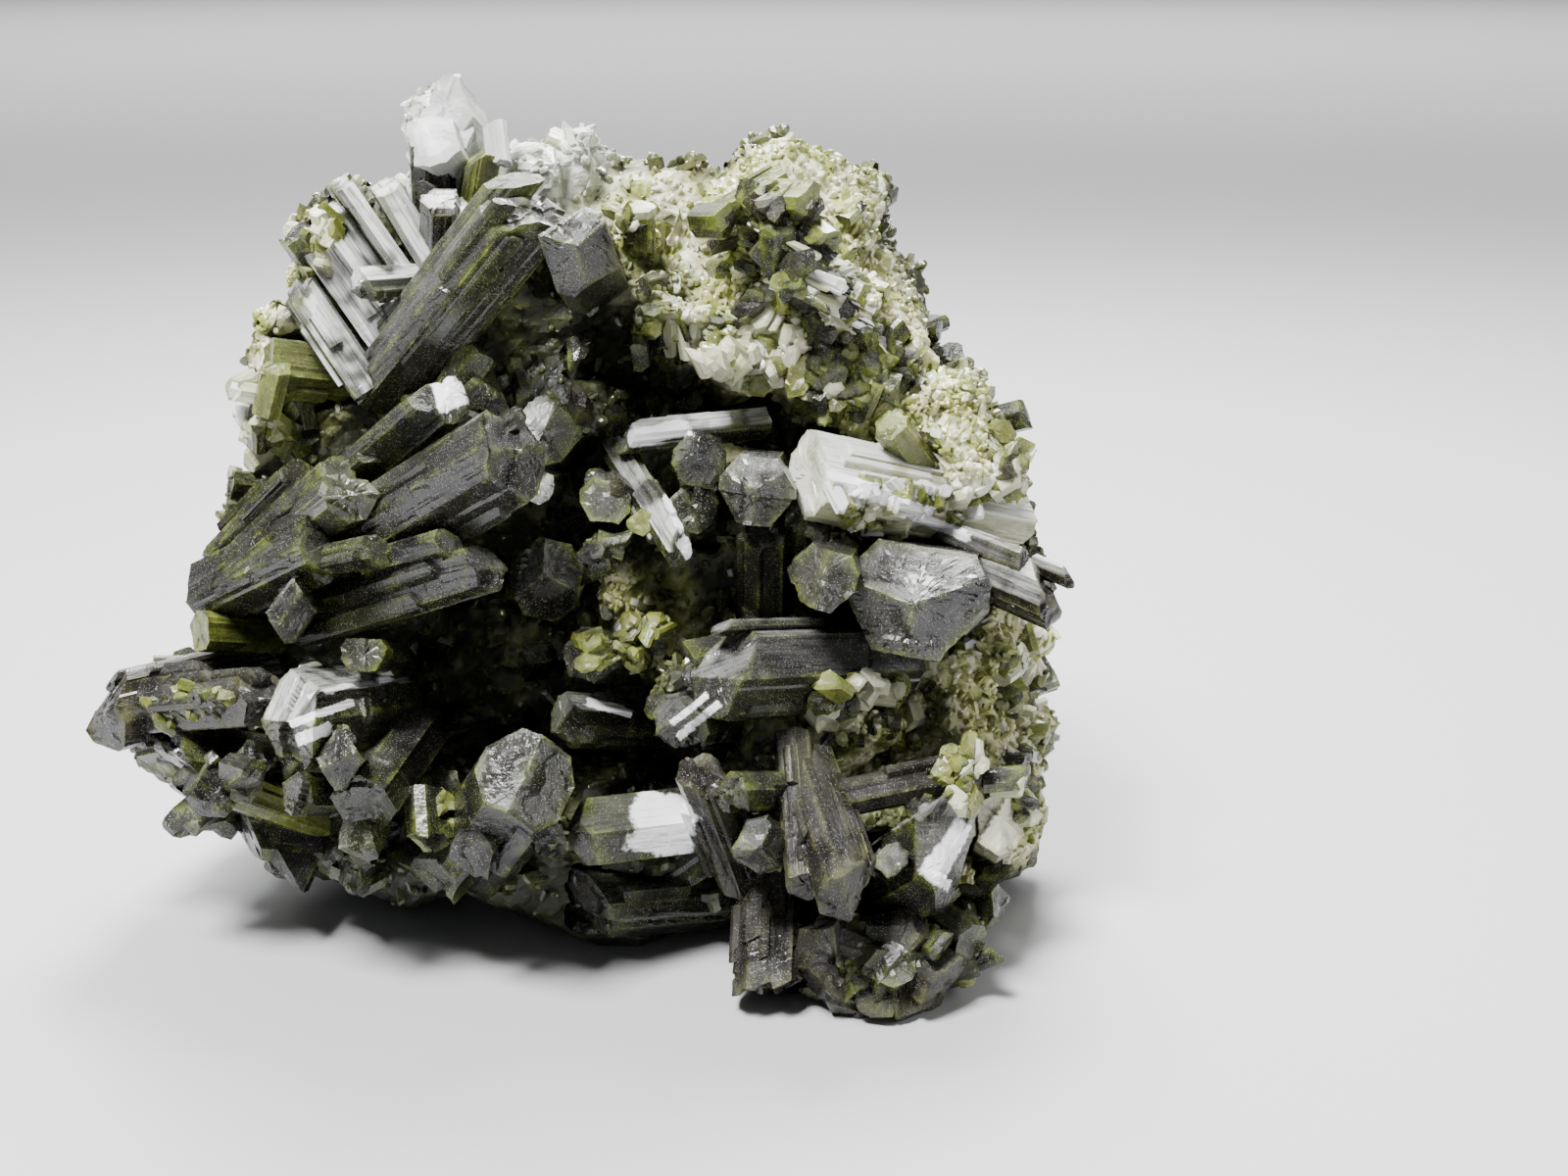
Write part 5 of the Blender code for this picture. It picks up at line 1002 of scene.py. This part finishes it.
# Where the rock is paler or greener, and where shade is painted on it in its hollows and underneath: right,
# up, depth and reach in mm
rockPatches = {
    "white": [(-9, 62, 8, 6.5), (-3, 60.5, 9, 6.5), (-23.5, 42, 6, 4.5), (13.5, 46, 1, 3),
              (18.5, 50.5, 3, 2.5), (30, 36, 2, 3)],
    "green": [(-20, 53, 6, 4), (-22, 47, 6, 4.5), (-20, 44, 3, 4), (14, 55, 4, 9), (19, 50, 4, 7),
              (11, 46.5, 1, 6.5), (22, 44, 3, 6.5), (28, 40, 2, 6), (31.5, 24, 2, 7), (32, 14, 0, 5),
              (21, 20.5, -4, 5.5), (5, 55, 6, 5.5), (4.5, 27, 0, 4.5), (1, 35, 0, 3), (26, 10, -6, 3)],
    # painted shade: the main pocket, the upper hollow and the underside
    "dark": [(-6.4, 23.4, 1, 9.5), (3.4, 45.4, 4.4, 6.5), (-14, 9, -2, 9), (6, 8, -2, 9), (18, 2, -8, 6)],
}


# The rock's solid as an even net of small faces
def rockSkin():
    form = bmesh.new()
    form.from_mesh(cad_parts["matrix"].data)
    bmesh.ops.remove_doubles(form, verts=form.verts, dist=0.000001)
    mesh = bpy.data.meshes.new("rockForm")
    form.to_mesh(mesh)
    form.free()
    item = addItem("rockForm", mesh)
    remesh = item.modifiers.new("skin", "REMESH")
    remesh.mode = "VOXEL"
    remesh.voxel_size = rockShape["voxel"] * mm
    graph = bpy.context.evaluated_depsgraph_get()
    skin = bpy.data.meshes.new_from_object(item.evaluated_get(graph))
    bpy.data.objects.remove(item, do_unlink=True)
    return skin


def patchWeight(points, kind):
    weight = np.zeros(len(points))
    for *where, reach in rockPatches[kind]:
        distance = np.linalg.norm(points - place(*where), axis=1) / reach
        weight = np.maximum(weight, np.clip(1.4 - distance, 0.0, 1.0))
    return weight


def vectorsOf(vertices, key):
    values = np.empty(len(vertices) * 3)
    vertices.foreach_get(key, values)
    return values.reshape(-1, 3)


rockMesh = rockSkin()
points = vectorsOf(rockMesh.vertices, "co") / mm
normals = vectorsOf(rockMesh.vertices, "normal")
near, following, grainTone = grainDistance(points, rockShape["grain"][0], 11)
lumps = latticeNoise(points, rockShape["lump"][0], 5)
fine = latticeNoise(points, rockShape["fine"][0], 7)
rise = lumps * rockShape["lump"][1] + (0.42 - near) * rockShape["grain"][1] + fine * rockShape["fine"][1]
restHeight, restFade = rockShape["rest"]
rise = rise * np.clip((points[:, 2] - restHeight) / restFade, 0.0, 1.0)
points = points + normals * rise[:, None]
points[:, 2] = np.maximum(points[:, 2], 0.0)
rockMesh.vertices.foreach_set("co", (points * mm).ravel())
rockMesh.update()
rockMesh.shade_flat()
values = {"whiteness": patchWeight(points, "white"), "greenness": patchWeight(points, "green"),
          "paintedShade": patchWeight(points, "dark"), "grainTone": grainTone,
          "seam": np.clip((following - near) * 3.0, 0.0, 1.0)}
for key, value in values.items():
    layer = rockMesh.attributes.new(key, "FLOAT", "POINT")
    layer.data.foreach_set("value", value.astype(np.float32))
rock = addItem("crusted_rock", rockMesh)
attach(rock, "root")
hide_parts("matrix")
print("rock:", len(rockMesh.polygons), "faces")


# Crust colour from a tone: dark gaps, olive, yellow-green, cream, near white
def crustRamp(tree, value, stops):
    node = addNode(tree, "ShaderNodeValToRGB")
    while len(node.color_ramp.elements) < len(stops):
        node.color_ramp.elements.new(0.5)
    for element, (position, colour) in zip(node.color_ramp.elements, stops):
        element.position = position
        element.color = (*colour, 1.0)
    tree.links.new(value, node.inputs[0])
    return node.outputs[0]


crustStops = {
    "olive": [(0.0, (0.008, 0.009, 0.004)), (0.55, (0.034, 0.036, 0.014)), (0.85, (0.100, 0.110, 0.030)),
              (1.0, (0.260, 0.265, 0.180))],
    "green": [(0.0, (0.030, 0.036, 0.008)), (0.18, (0.125, 0.145, 0.022)), (0.40, (0.330, 0.350, 0.095)),
              (0.64, (0.600, 0.590, 0.350)), (1.0, (0.850, 0.840, 0.750))],
    "white": [(0.0, (0.150, 0.160, 0.120)), (0.45, (0.480, 0.490, 0.440)), (1.0, (0.820, 0.830, 0.810))],
}


crustLook = {
    "broad": 260.0,               # repeats per metre of its broad, small and middling noises
    "small": 1500.0,
    "vary": 330.0,
    "green": (0.55, 1.15),        # where the green and white places start and are full
    "white": (0.75, 1.35),
    # painted shade in the hollows and underneath: how much, and its colour
    "dark": (0.9, (0.012, 0.014, 0.008)),
    "seam": 0.45,                 # how dark the gaps between grains are
    "roughness": (0.35, 0.75),
    "bump": (3600.0, 0.8, 0.00012),
}


# Olive crust that turns green and white where the masks say, with painted shade over it in the hollows and
# underneath
def crustColour(tree, mixed, greenMask, whiteMask, paintedShadeAmount, paintedShadeColour):
    olive, green, white = [crustRamp(tree, mixed, crustStops[key]) for key in ("olive", "green", "white")]
    colour = mixColour(tree, greenMask, olive, green)
    colour = mixColour(tree, whiteMask, colour, white)
    # Painted shade in the hollows and underneath
    dark = mathNode(tree, "MULTIPLY", attributeNode(tree, "paintedShade"), paintedShadeAmount, clamp=True)
    return mixColour(tree, dark, colour, paintedShadeColour)


def crustMaterial():
    material, tree, shader = newMaterial("crust")
    spot = objectPlace(tree)
    broad = noiseNode(tree, spot, crustLook["broad"], 4.0)
    small = noiseNode(tree, spot, crustLook["small"], 3.0)
    vary = noiseNode(tree, spot, crustLook["vary"], 3.0)
    tone = mathNode(tree, "MULTIPLY_ADD", attributeNode(tree, "grainTone"), 0.40, -0.90)
    mixed = mathNode(tree, "MULTIPLY_ADD", small, 0.8, tone)
    mixed = mathNode(tree, "MULTIPLY_ADD", vary, 1.65, mixed, clamp=True)
    masks = [smoothStep(tree, mathNode(tree, "ADD", attributeNode(tree, name), broad), *crustLook[kind])
             for name, kind in (("greenness", "green"), ("whiteness", "white"))]
    colour = crustColour(tree, mixed, *masks, *crustLook["dark"])
    seam = smoothStep(tree, attributeNode(tree, "seam"), 0.0, 0.5, crustLook["seam"], 1.0)
    shade = addNode(tree, "ShaderNodeCombineColor")
    for socket in shade.inputs[:3]:
        tree.links.new(seam, socket)
    colour = mixColour(tree, 1.0, colour, shade.outputs[0], "MULTIPLY")
    tree.links.new(colour, shader.inputs["Base Color"])
    tree.links.new(smoothStep(tree, small, 0.3, 0.7, *crustLook["roughness"]), shader.inputs["Roughness"])
    scale, strength, depth = crustLook["bump"]
    addBump(tree, shader, noiseNode(tree, spot, scale, 3.0), strength, depth)
    return material


rockMesh.materials.clear()
rockMesh.materials.append(crustMaterial())

# The druse: thousands of tiny crystals on the rock
druseShape = {
    "count": (5200, 7600),     # coarse ones everywhere, fine ones on the pale crust
    "fineSize": 0.66,
    "width": (0.45, 1.35),     # mm
    "stretch": (0.9, 1.7),     # length, in widths
    "clearance": 0.55,         # mm of room that a tiny crystal needs in front of it
    "sides": 5,
    "flat": (0.45, 1.0),       # thickness, in widths
    "slope": 0.6,              # the most that the end slopes
    "sunk": 0.22,              # shares of the length: how deep the middle lies, and from there the root,
    "root": 0.30,
    "shoulder": 0.62,          # the shoulder, the rim of the end and the tip
    "rim": 0.78,
    "tip": 0.84,
    "rimWidth": 0.55,
}
# What a tiny crystal may not run into
mainCrystals = solidTree(without=("matrix",))


# Points on the rock picked by area, with the way that the skin looks there
def rockSamples(count, rng, favour=None):
    rockMesh.calc_loop_triangles()
    corners = np.empty(len(rockMesh.loop_triangles) * 3, dtype=np.int32)
    rockMesh.loop_triangles.foreach_get("vertices", corners)
    triangle = points[corners.reshape(-1, 3)]
    cross = np.cross(triangle[:, 1] - triangle[:, 0], triangle[:, 2] - triangle[:, 0])
    area = np.linalg.norm(cross, axis=1)
    middle = triangle.mean(axis=1)
    weight = area * (middle[:, 2] > 1.2) * np.clip(cross[:, 2] / np.maximum(area, 1e-9) + 0.75, 0.0, 1.0)
    if favour is not None:
        weight = weight * favour(middle)
    chosen = rng.choice(len(area), count, p=weight / weight.sum())
    share = rng.uniform(0.0, 1.0, (count, 2))
    share = np.where(share.sum(axis=1, keepdims=True) > 1.0, 1.0 - share, share)
    where = (triangle[chosen, 0] + (triangle[chosen, 1] - triangle[chosen, 0]) * share[:, :1]
             + (triangle[chosen, 2] - triangle[chosen, 0]) * share[:, 1:])
    way = cross[chosen] / area[chosen, None]
    reach = druseShape["clearance"] * mm
    free = np.array([mainCrystals.ray_cast(Vector(spot * mm), Vector(axis), reach)[0] is None
                     for spot, axis in zip(where, way)])
    return where[free], way[free]


# Many short five-sided prisms at once: rings at the root, the shoulder and near the end, and a tip
def tinyPrisms(where, way, width, length, lean, rng):
    count = len(where)
    sides = druseShape["sides"]
    axis = way + lean
    axis = axis / np.linalg.norm(axis, axis=1, keepdims=True)
    other = rng.normal(size=(count, 3))
    across = np.cross(axis, other)
    across = across / np.linalg.norm(across, axis=1, keepdims=True)
    through = np.cross(axis, across)
    turn = np.linspace(0.0, 2.0 * math.pi, sides, endpoint=False)[None, :]
    turn = turn + rng.uniform(-0.25, 0.25, (count, sides))
    flat = rng.uniform(*druseShape["flat"], (count, 1))
    radial = (across[:, None, :] * np.cos(turn)[..., None]
              + through[:, None, :] * (np.sin(turn) * flat)[..., None]) * (width / 2)[:, None, None]
    steep = druseShape["slope"]
    slope = rng.uniform(-steep, steep, (count, 1)) * np.cos(turn)
    slope = slope + rng.uniform(-steep, steep, (count, 1)) * np.sin(turn)
    middle = (where - axis * (druseShape["sunk"] * length)[:, None])[:, None, :]
    along, length, width = axis[:, None, :], length[:, None], width[:, None]
    root = middle - along * (druseShape["root"] * length)[..., None] + radial
    shoulder = middle + along * (length * druseShape["shoulder"] + slope * width * 0.4)[..., None] + radial
    top = middle + along * (length * druseShape["rim"] + slope * width * 0.25)[..., None]
    top = top + radial * druseShape["rimWidth"]
    tip = middle + along * (length * druseShape["tip"])[..., None]
    rings = np.concatenate([root, shoulder, top, tip], axis=1)
    perPrism = sides * 3 + 1
    base = gridFaces(3, sides, 0)
    quads = (base[None] + (np.arange(count) * perPrism)[:, None, None]).reshape(-1, 4)
    fan = fanFaces(2 * sides, sides, 3 * sides, False)
    triangles = (fan[None] + (np.arange(count) * perPrism)[:, None, None]).reshape(-1, 3)
    rim = np.tile(np.concatenate([np.zeros(sides), np.full(sides, 0.8), np.full(sides + 1, 0.3)]), count)
    tone = np.repeat(rng.uniform(0.0, 1.0, count), perPrism)
    return rings.reshape(-1, 3), quads, triangles, rim, tone, perPrism


druseLook = {
    "small": 2600.0,              # repeats per metre of its noises
    "vary": 330.0,
    "mask": (0.1, 0.9),           # where the green and white places start and are full
    # painted shade in the hollows and underneath: how much, and its colour
    "dark": (0.85, (0.014, 0.017, 0.008)),
    "edge": (0.15, (0.360, 0.400, 0.080)),
    "roughness": (0.18, 0.5),
    "ior": 1.74,
    "bump": (0.5, 0.00005),
}


def druseMaterial():
    material, tree, shader = newMaterial("druse")
    spot = objectPlace(tree)
    small = noiseNode(tree, spot, druseLook["small"], 3.0)
    vary = noiseNode(tree, spot, druseLook["vary"], 3.0)
    tone = mathNode(tree, "MULTIPLY_ADD", attributeNode(tree, "tone"), 0.55, -0.75)
    mixed = mathNode(tree, "MULTIPLY_ADD", small, 0.35, tone)
    mixed = mathNode(tree, "MULTIPLY_ADD", vary, 1.65, mixed, clamp=True)
    masks = [smoothStep(tree, attributeNode(tree, name), *druseLook["mask"])
             for name in ("greenness", "whiteness")]
    colour = crustColour(tree, mixed, *masks, *druseLook["dark"])
    # Painted glow on the edges of the tiny crystals
    edgeAmount, edgeColour = druseLook["edge"]
    edge = mathNode(tree, "MULTIPLY", attributeNode(tree, "rim"), edgeAmount)
    tree.links.new(mixColour(tree, edge, colour, edgeColour), shader.inputs["Base Color"])
    tree.links.new(smoothStep(tree, small, 0.3, 0.7, *druseLook["roughness"]), shader.inputs["Roughness"])
    shader.inputs["IOR"].default_value = druseLook["ior"]
    addBump(tree, shader, small, *druseLook["bump"])
    return material


def paleness(spots):
    return np.maximum(patchWeight(spots, "green"), patchWeight(spots, "white"))


# Where the coarse and the fine crystals of the druse like to grow
def coarseGrowth(spots):
    return 1.15 - paleness(spots)


def fineGrowth(spots):
    return np.maximum(paleness(spots) + 0.06 - patchWeight(spots, "white") * 0.9, 0.02)


druseFinish = druseMaterial()
for number, (name, scale, growth) in enumerate((("coarse_druse", 1.0, coarseGrowth),
                                                ("fine_druse", druseShape["fineSize"], fineGrowth))):
    rng = np.random.default_rng(77 + number)
    where, way = rockSamples(druseShape["count"][number], rng, growth)
    count = len(where)
    leaning = np.stack([latticeNoise(where, 3.0, seed) for seed in (21, 22, 23)], axis=1) * 1.1
    leaning = leaning + rng.normal(0.0, 0.6, (count, 3))
    sizeField = (0.65 + 0.5 * (latticeNoise(where, 5.0, 31) * 0.5 + 0.5)) * scale
    width = rng.uniform(0.0, 1.0, count) ** 2.4 * (druseShape["width"][1] - druseShape["width"][0])
    width = (width + druseShape["width"][0]) * sizeField
    length = rng.uniform(*druseShape["stretch"], count) * width
    made, quads, triangles, rim, tone, perPrism = tinyPrisms(where, way, width, length, leaning, rng)
    attributes = {"rim": rim, "tone": tone}
    for kind, key in (("white", "whiteness"), ("green", "greenness"), ("dark", "paintedShade")):
        attributes[key] = np.repeat(patchWeight(where, kind), perPrism)
    druse = buildMesh(name, made, quads, triangles, attributes)
    druse.data.materials.append(druseFinish)
    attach(druse, "root")
    print("druse:", name, count, "tiny crystals,", len(quads) * 2 + len(triangles), "triangles")

# Smaller crystals that crowd the gaps, each lying much as its nearest large neighbour does
crowdShape = {
    "count": 600,
    "width": (1.1, 3.0),
    "stretch": (1.3, 2.8),     # length, in widths
    "sunk": 0.45,              # share of the length below the rock's skin
    "follow": 0.8,             # how far they follow the neighbour rather than the skin
    "paleSize": 0.52,          # how large they are on the pale crust
    "paleFrom": 0.35,          # how pale the crust is where they count as on it
    "stray": 0.28,
    # finishes and their shares, on the pale crust and elsewhere
    "paleMix": (("yellow", "pale", "olive"), (0.5, 0.3, 0.2)),
    "darkMix": (("dark", "olive", "brown"), (0.45, 0.35, 0.2)),
    "bareTop": (44.0, 0.3, -6.0),      # mm above this, where paler than this or right of this
    "bareLeft": (-19.0, 30.0, 12.0),   # left of this, above this, in front of this
    "bareFoot": (13.0, 4.0, 2.0),      # below this, left of this, in front of this
    "foot": 0.65,              # share left out in that last place
    "detail": 1.9,             # how much coarser they are made than the large ones
    "reach": 0.3,              # mm that they may stand out of the solids' box
    "lowest": 0.2,             # mm above the floor
}


# End facets that look about the way the crystal points, as (right, up, toward)
def endsAlong(axis, stray, rng):
    return [tuple(rng.normal(0.0, stray, 3) + np.array((axis[0], axis[2], -axis[1]))) for _ in range(3)]


def smallCrystal(root, axis, width, length, ends, faceStray, faceWay, rng):
    return {"root": root, "tip": root + axis * length, "width": width,
            "thickness": width * rng.uniform(0.5, 0.95),
            "faces": unit(rng.normal(0.0, faceStray, 3) + np.array(faceWay)),
            "ends": ends, "trim": None, "ledges": 0}


# One piece for each finish, with seeds that run on from the given one
def addSmallCrystals(prefix, found, seed):
    for finish, specs in found.items():
        if not specs:
            continue
        piece = joinParts(prefix + "_" + finish, [prism(spec, seed + number, crowdShape["detail"])
                                                  for number, spec in enumerate(specs)])
        piece.data.materials.append(finishes[finish])
        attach(piece, "root")
        print(prefix + ":", finish, len(specs), len(piece.data.polygons), "faces")


# Places that the photograph shows bare: the top, the left edge, and most of the lower left
def isBare(spot, pale, rng):
    x, y, z = spot
    low, palest, left = crowdShape["bareTop"]
    if z > low and (pale > palest or x > left):
        return True
    right, low, back = crowdShape["bareLeft"]
    if x < right and z > low and y < back:
        return True
    high, right, back = crowdShape["bareFoot"]
    return z < high and x < right and y < back and rng.uniform() < crowdShape["foot"]


def crowd(rng):
    where, way = rockSamples(crowdShape["count"], rng)
    members = [spec for _, group in crystalGroups.values() for spec in group]
    roots = np.stack([spec["root"] for spec in members])
    spans = np.stack([spec["tip"] for spec in members]) - roots
    low = np.array(cadBox[0]) / mm - crowdShape["reach"]
    high = np.array(cadBox[1]) / mm + crowdShape["reach"]
    low[2] = crowdShape["lowest"]
    found = {name: [] for name in crystalFinish}
    for spot, normal, pale in zip(where, way, paleness(where)):
        share = np.clip(((spot - roots) * spans).sum(axis=1) / (spans ** 2).sum(axis=1), 0.0, 1.0)
        nearest = np.linalg.norm(spot - roots - spans * share[:, None], axis=1).argmin()
        neighbour = unit(spans[nearest])
        if neighbour.dot(normal) < 0.0:
            neighbour = -neighbour
        onPale = pale > crowdShape["paleFrom"]
        stray = rng.normal(0.0, crowdShape["stray"], 3)
        axis = unit(neighbour * crowdShape["follow"] + normal * 0.6 + stray)
        width = rng.uniform(*crowdShape["width"]) * (crowdShape["paleSize"] if onPale else 1.0)
        length = width * rng.uniform(*crowdShape["stretch"])
        root = spot - axis * length * (crowdShape["sunk"] + 0.2 * (pale > 0.2))
        tip = root + axis * length
        reach = width * 0.5
        if (tip - reach < low).any() or (tip + reach > high).any() or root[2] < reach:
            continue
        if isBare(spot, pale, rng):
            continue
        ends = endsAlong(axis, 0.5, rng)
        spec = smallCrystal(root, axis, width, length, ends, 1.0, (0.0, 0.0, 0.0), rng)
        kinds, shares = crowdShape["paleMix" if onPale else "darkMix"]
        found[rng.choice(kinds, p=shares)].append(spec)
    return found


addSmallCrystals("crowd", crowd(np.random.default_rng(311)), 20000)

# Spots of small crystals seen from the front, one to a row: name, middle and half size on the survey
# plane (right, up), number, widths, lengths in widths, the way they point, how far they stray, finishes
spotRows = """
white_peak; -8.8 61.2; 1.2 1.3; 6; 3.6 4.8; 0.7 0.85; 0 0.7 0.8; 0.22; white
saddle; -3.2 61.6; 3.2 1; 34; 0.8 1.9; 1 1.9; 0 1 0.3; 0.6; white white pale
left_crust; -18.6 54.6; 2 3.2; 34; 0.7 1.5; 1 1.8; -0.4 0.7 0.4; 0.6; yellow pale
left_rim; -22.8 40.6; 1.1 3.6; 26; 0.9 2; 1 1.9; -0.7 0.2 0.5; 0.6; white pale
shards; -20.4 41.6; 1.8 2.4; 12; 1.2 2.4; 1.2 2.2; 0.4 0.8 0.4; 0.5; yellow olive
streaks; 17.6 50.2; 2.6 1.8; 48; 0.35 0.7; 5 9; 0.85 -0.45 0.22; 0.12; pale white dark pale
fan; 15.4 54.4; 2.6 2.6; 44; 0.35 0.75; 4 7; 0.7 -0.6 0.05; 0.16; dark olive olive pale
rods; 7.4 47.6; 2.9 0.8; 15; 0.7 1.3; 2.4 3.6; 0 0.9 0.5; 0.12; olive brown pale
pale_lumps; 12.4 46.4; 3.4 2.8; 60; 0.8 2; 0.9 1.7; 0 0.4 1; 0.7; pale yellow pale
below_mound; 18.6 44; 3.4 2.2; 44; 0.8 1.8; 0.9 1.8; 0.2 0.3 1; 0.7; yellow pale olive
top_green; 4.8 55.6; 2.4 1.4; 12; 1.2 2.2; 1.1 1.8; 0 0.6 0.8; 0.5; yellow pale
mound_edge; 20.2 52.6; 1.6 4.8; 40; 0.6 1.4; 1 1.8; 0.6 0.5 0.5; 0.6; yellow pale olive
right_rim; 30.8 38.6; 2.2 2.4; 26; 0.9 2; 1 1.8; 0.6 0.4 0.7; 0.6; pale yellow
slab_dust; 22.8 35.2; 5.4 1.9; 64; 0.6 1.3; 1 2.2; 0.3 0.4 0.9; 0.5; pale yellow white
centre_rubble; 2.4 34.4; 3 2.4; 26; 1 2.2; 1 1.9; 0 0.3 1; 0.6; olive yellow brown
centre_green; 3.6 26.4; 3.2 2.6; 34; 0.8 1.8; 1 2.2; 0.1 0.4 1; 0.6; yellow olive yellow
right_crust; 20.6 21; 3.4 2.6; 44; 0.8 2; 0.9 1.7; 0.1 0.3 1; 0.7; yellow pale olive
right_edge; 31.6 20; 1.8 6.2; 70; 0.8 2; 0.9 1.7; 0.7 0.2 0.7; 0.7; yellow pale olive
lumpy_rim; 27.4 16.6; 1.8 2.4; 28; 0.7 1.6; 0.9 1.6; 0.3 0.3 0.9; 0.7; yellow pale
foot_lumps; 22.4 3; 4.8 2.2; 15; 3.4 5.6; 0.55 0.8; 0.1 0 1; 0.6; brown dark brown olive
foot_green; 23 2.4; 5 2.2; 12; 0.8 1.6; 0.8 1.4; 0.1 0.1 1; 0.6; yellow olive
mound_dark; 13.6 53.4; 4.4 4.4; 44; 1.2 2.8; 1 1.8; 0.3 0.2 1; 0.55; olive yellow brown olive
mound_low_dark; 20.6 45.6; 4.6 3.2; 34; 1.2 2.6; 1 1.8; 0.3 0.2 1; 0.55; olive yellow olive
far_left_green; -27.2 21.4; 3.4 1.4; 24; 0.7 1.7; 1 1.8; -0.4 0.5 0.7; 0.6; yellow olive
lower_left; -24.4 15.4; 4.4 1.8; 8; 2 3.4; 1 1.6; -0.3 -0.2 1; 0.4; dark olive dark
under_left; -14 11.6; 8 2.2; 9; 2.6 4.4; 0.9 1.4; -0.1 -0.3 1; 0.35; dark dark olive
green_lump; -9.8 13.8; 1.6 1.4; 14; 1 2; 0.9 1.6; 0 0.2 1; 0.6; yellow olive
"""
spotSpecs = {name: [] for name in crystalFinish}
for order, row in enumerate(spotRows.strip().split("\n")):
    fields = row.split(";")
    middle, half, (count,), widths, stretch, way, (stray,) = [numbers(field) for field in fields[1:-1]]
    kinds = fields[-1].split()
    rng = np.random.default_rng(640 + order)
    for _ in range(int(count)):
        angle, distance = rng.uniform(0.0, 2.0 * math.pi), math.sqrt(rng.uniform())
        spot = seenPoint(middle[0] + half[0] * distance * math.cos(angle),
                         middle[1] + half[1] * distance * math.sin(angle))
        if spot is None:
            continue
        axis = unit(heading(*way) + rng.normal(0.0, stray, 3))
        width = rng.uniform(*widths)
        length = width * rng.uniform(*stretch)
        ends = endsAlong(axis, 0.45, rng)
        spotSpecs[rng.choice(kinds)].append(
            smallCrystal(spot - axis * length * 0.45, axis, width, length, ends, 0.5, (0.0, -0.7, 0.7), rng))
addSmallCrystals("spots", spotSpecs, 30000)

# Floor, lights and camera
stageValues = {
    "floor": (-3.0, -3.0, 3.0, 6.0),   # m, its low and high corner
    "floorRoughness": 0.9,
    "floorColour": (0.46, 0.46, 0.47),
    "farFloor": (0.35, 1.40, 0.17),    # its far part glows: from and to in m, strength
    "worldStrength": 0.10,
    "backdropStrength": 0.62,          # as the camera sees it
    "backdropColour": (0.92, 0.94, 1.0),
    # place and aim in mm, size in mm, power in watts
    "lights": [((-80, -140, 300), (0, 0, 25), 90, 3.8), ((20, 170, 290), (0, 0, 30), 130, 3.6),
               ((260, -80, 140), (0, 0, 30), 160, 0.3), ((0, 1500, 900), (0, 1500, 0), 1900, 42.0)],
}
floorMesh = bpy.data.meshes.new("floor")
left, front, right, back = stageValues["floor"]
floorMesh.from_pydata([(left, front, 0.0), (right, front, 0.0), (right, back, 0.0), (left, back, 0.0)], [],
                      [(0, 1, 2, 3)])
floor = addItem("floor", floorMesh)
floorFinish, floorTree, floorShader = newMaterial("floor")
floorShader.inputs["Base Color"].default_value = (*stageValues["floorColour"], 1.0)
floorShader.inputs["Roughness"].default_value = stageValues["floorRoughness"]
reach = addNode(floorTree, "ShaderNodeVectorMath", operation="LENGTH")
floorTree.links.new(objectPlace(floorTree), reach.inputs[0])
near, far, strength = stageValues["farFloor"]
floorTree.links.new(smoothStep(floorTree, reach.outputs["Value"], near, far, 0.0, strength),
                    floorShader.inputs["Emission Strength"])
floorShader.inputs["Emission Color"].default_value = (1.0, 1.0, 1.0, 1.0)
floorMesh.materials.append(floorFinish)

world = bpy.data.worlds.new("studio")
bpy.context.scene.world = world
world.use_nodes = True
backdrop = world.node_tree.nodes["Background"]
backdrop.inputs["Color"].default_value = (*stageValues["backdropColour"], 1.0)
seenAndLit = stageValues["backdropStrength"] - stageValues["worldStrength"]
path = addNode(world.node_tree, "ShaderNodeLightPath")
strength = mathNode(world.node_tree, "MULTIPLY_ADD", path.outputs["Is Camera Ray"], seenAndLit,
                    stageValues["worldStrength"])
world.node_tree.links.new(strength, backdrop.inputs["Strength"])
for number, (where, aim, size, power) in enumerate(stageValues["lights"]):
    light = bpy.data.lights.new("softbox%d" % number, "AREA")
    light.size = size * mm
    light.energy = power
    lamp = addItem(light.name, light)
    lamp.location = Vector(where) * mm
    lamp.rotation_euler = (Vector(aim) - Vector(where)).to_track_quat("-Z", "Y").to_euler()

cameraData = bpy.data.cameras.new("camera")
cameraData.lens = survey["focalLength"]
cameraData.sensor_width = survey["filmWidth"]
cameraData.clip_start = 0.01
camera = addItem("camera", cameraData)
camera.location = Vector([(eye + shift) * mm for eye, shift in zip(survey["eye"], survey["shift"])])
camera.rotation_euler = (math.radians(90.0 - survey["pitch"]), 0.0, 0.0)
bpy.context.scene.camera = camera

print("stage set")
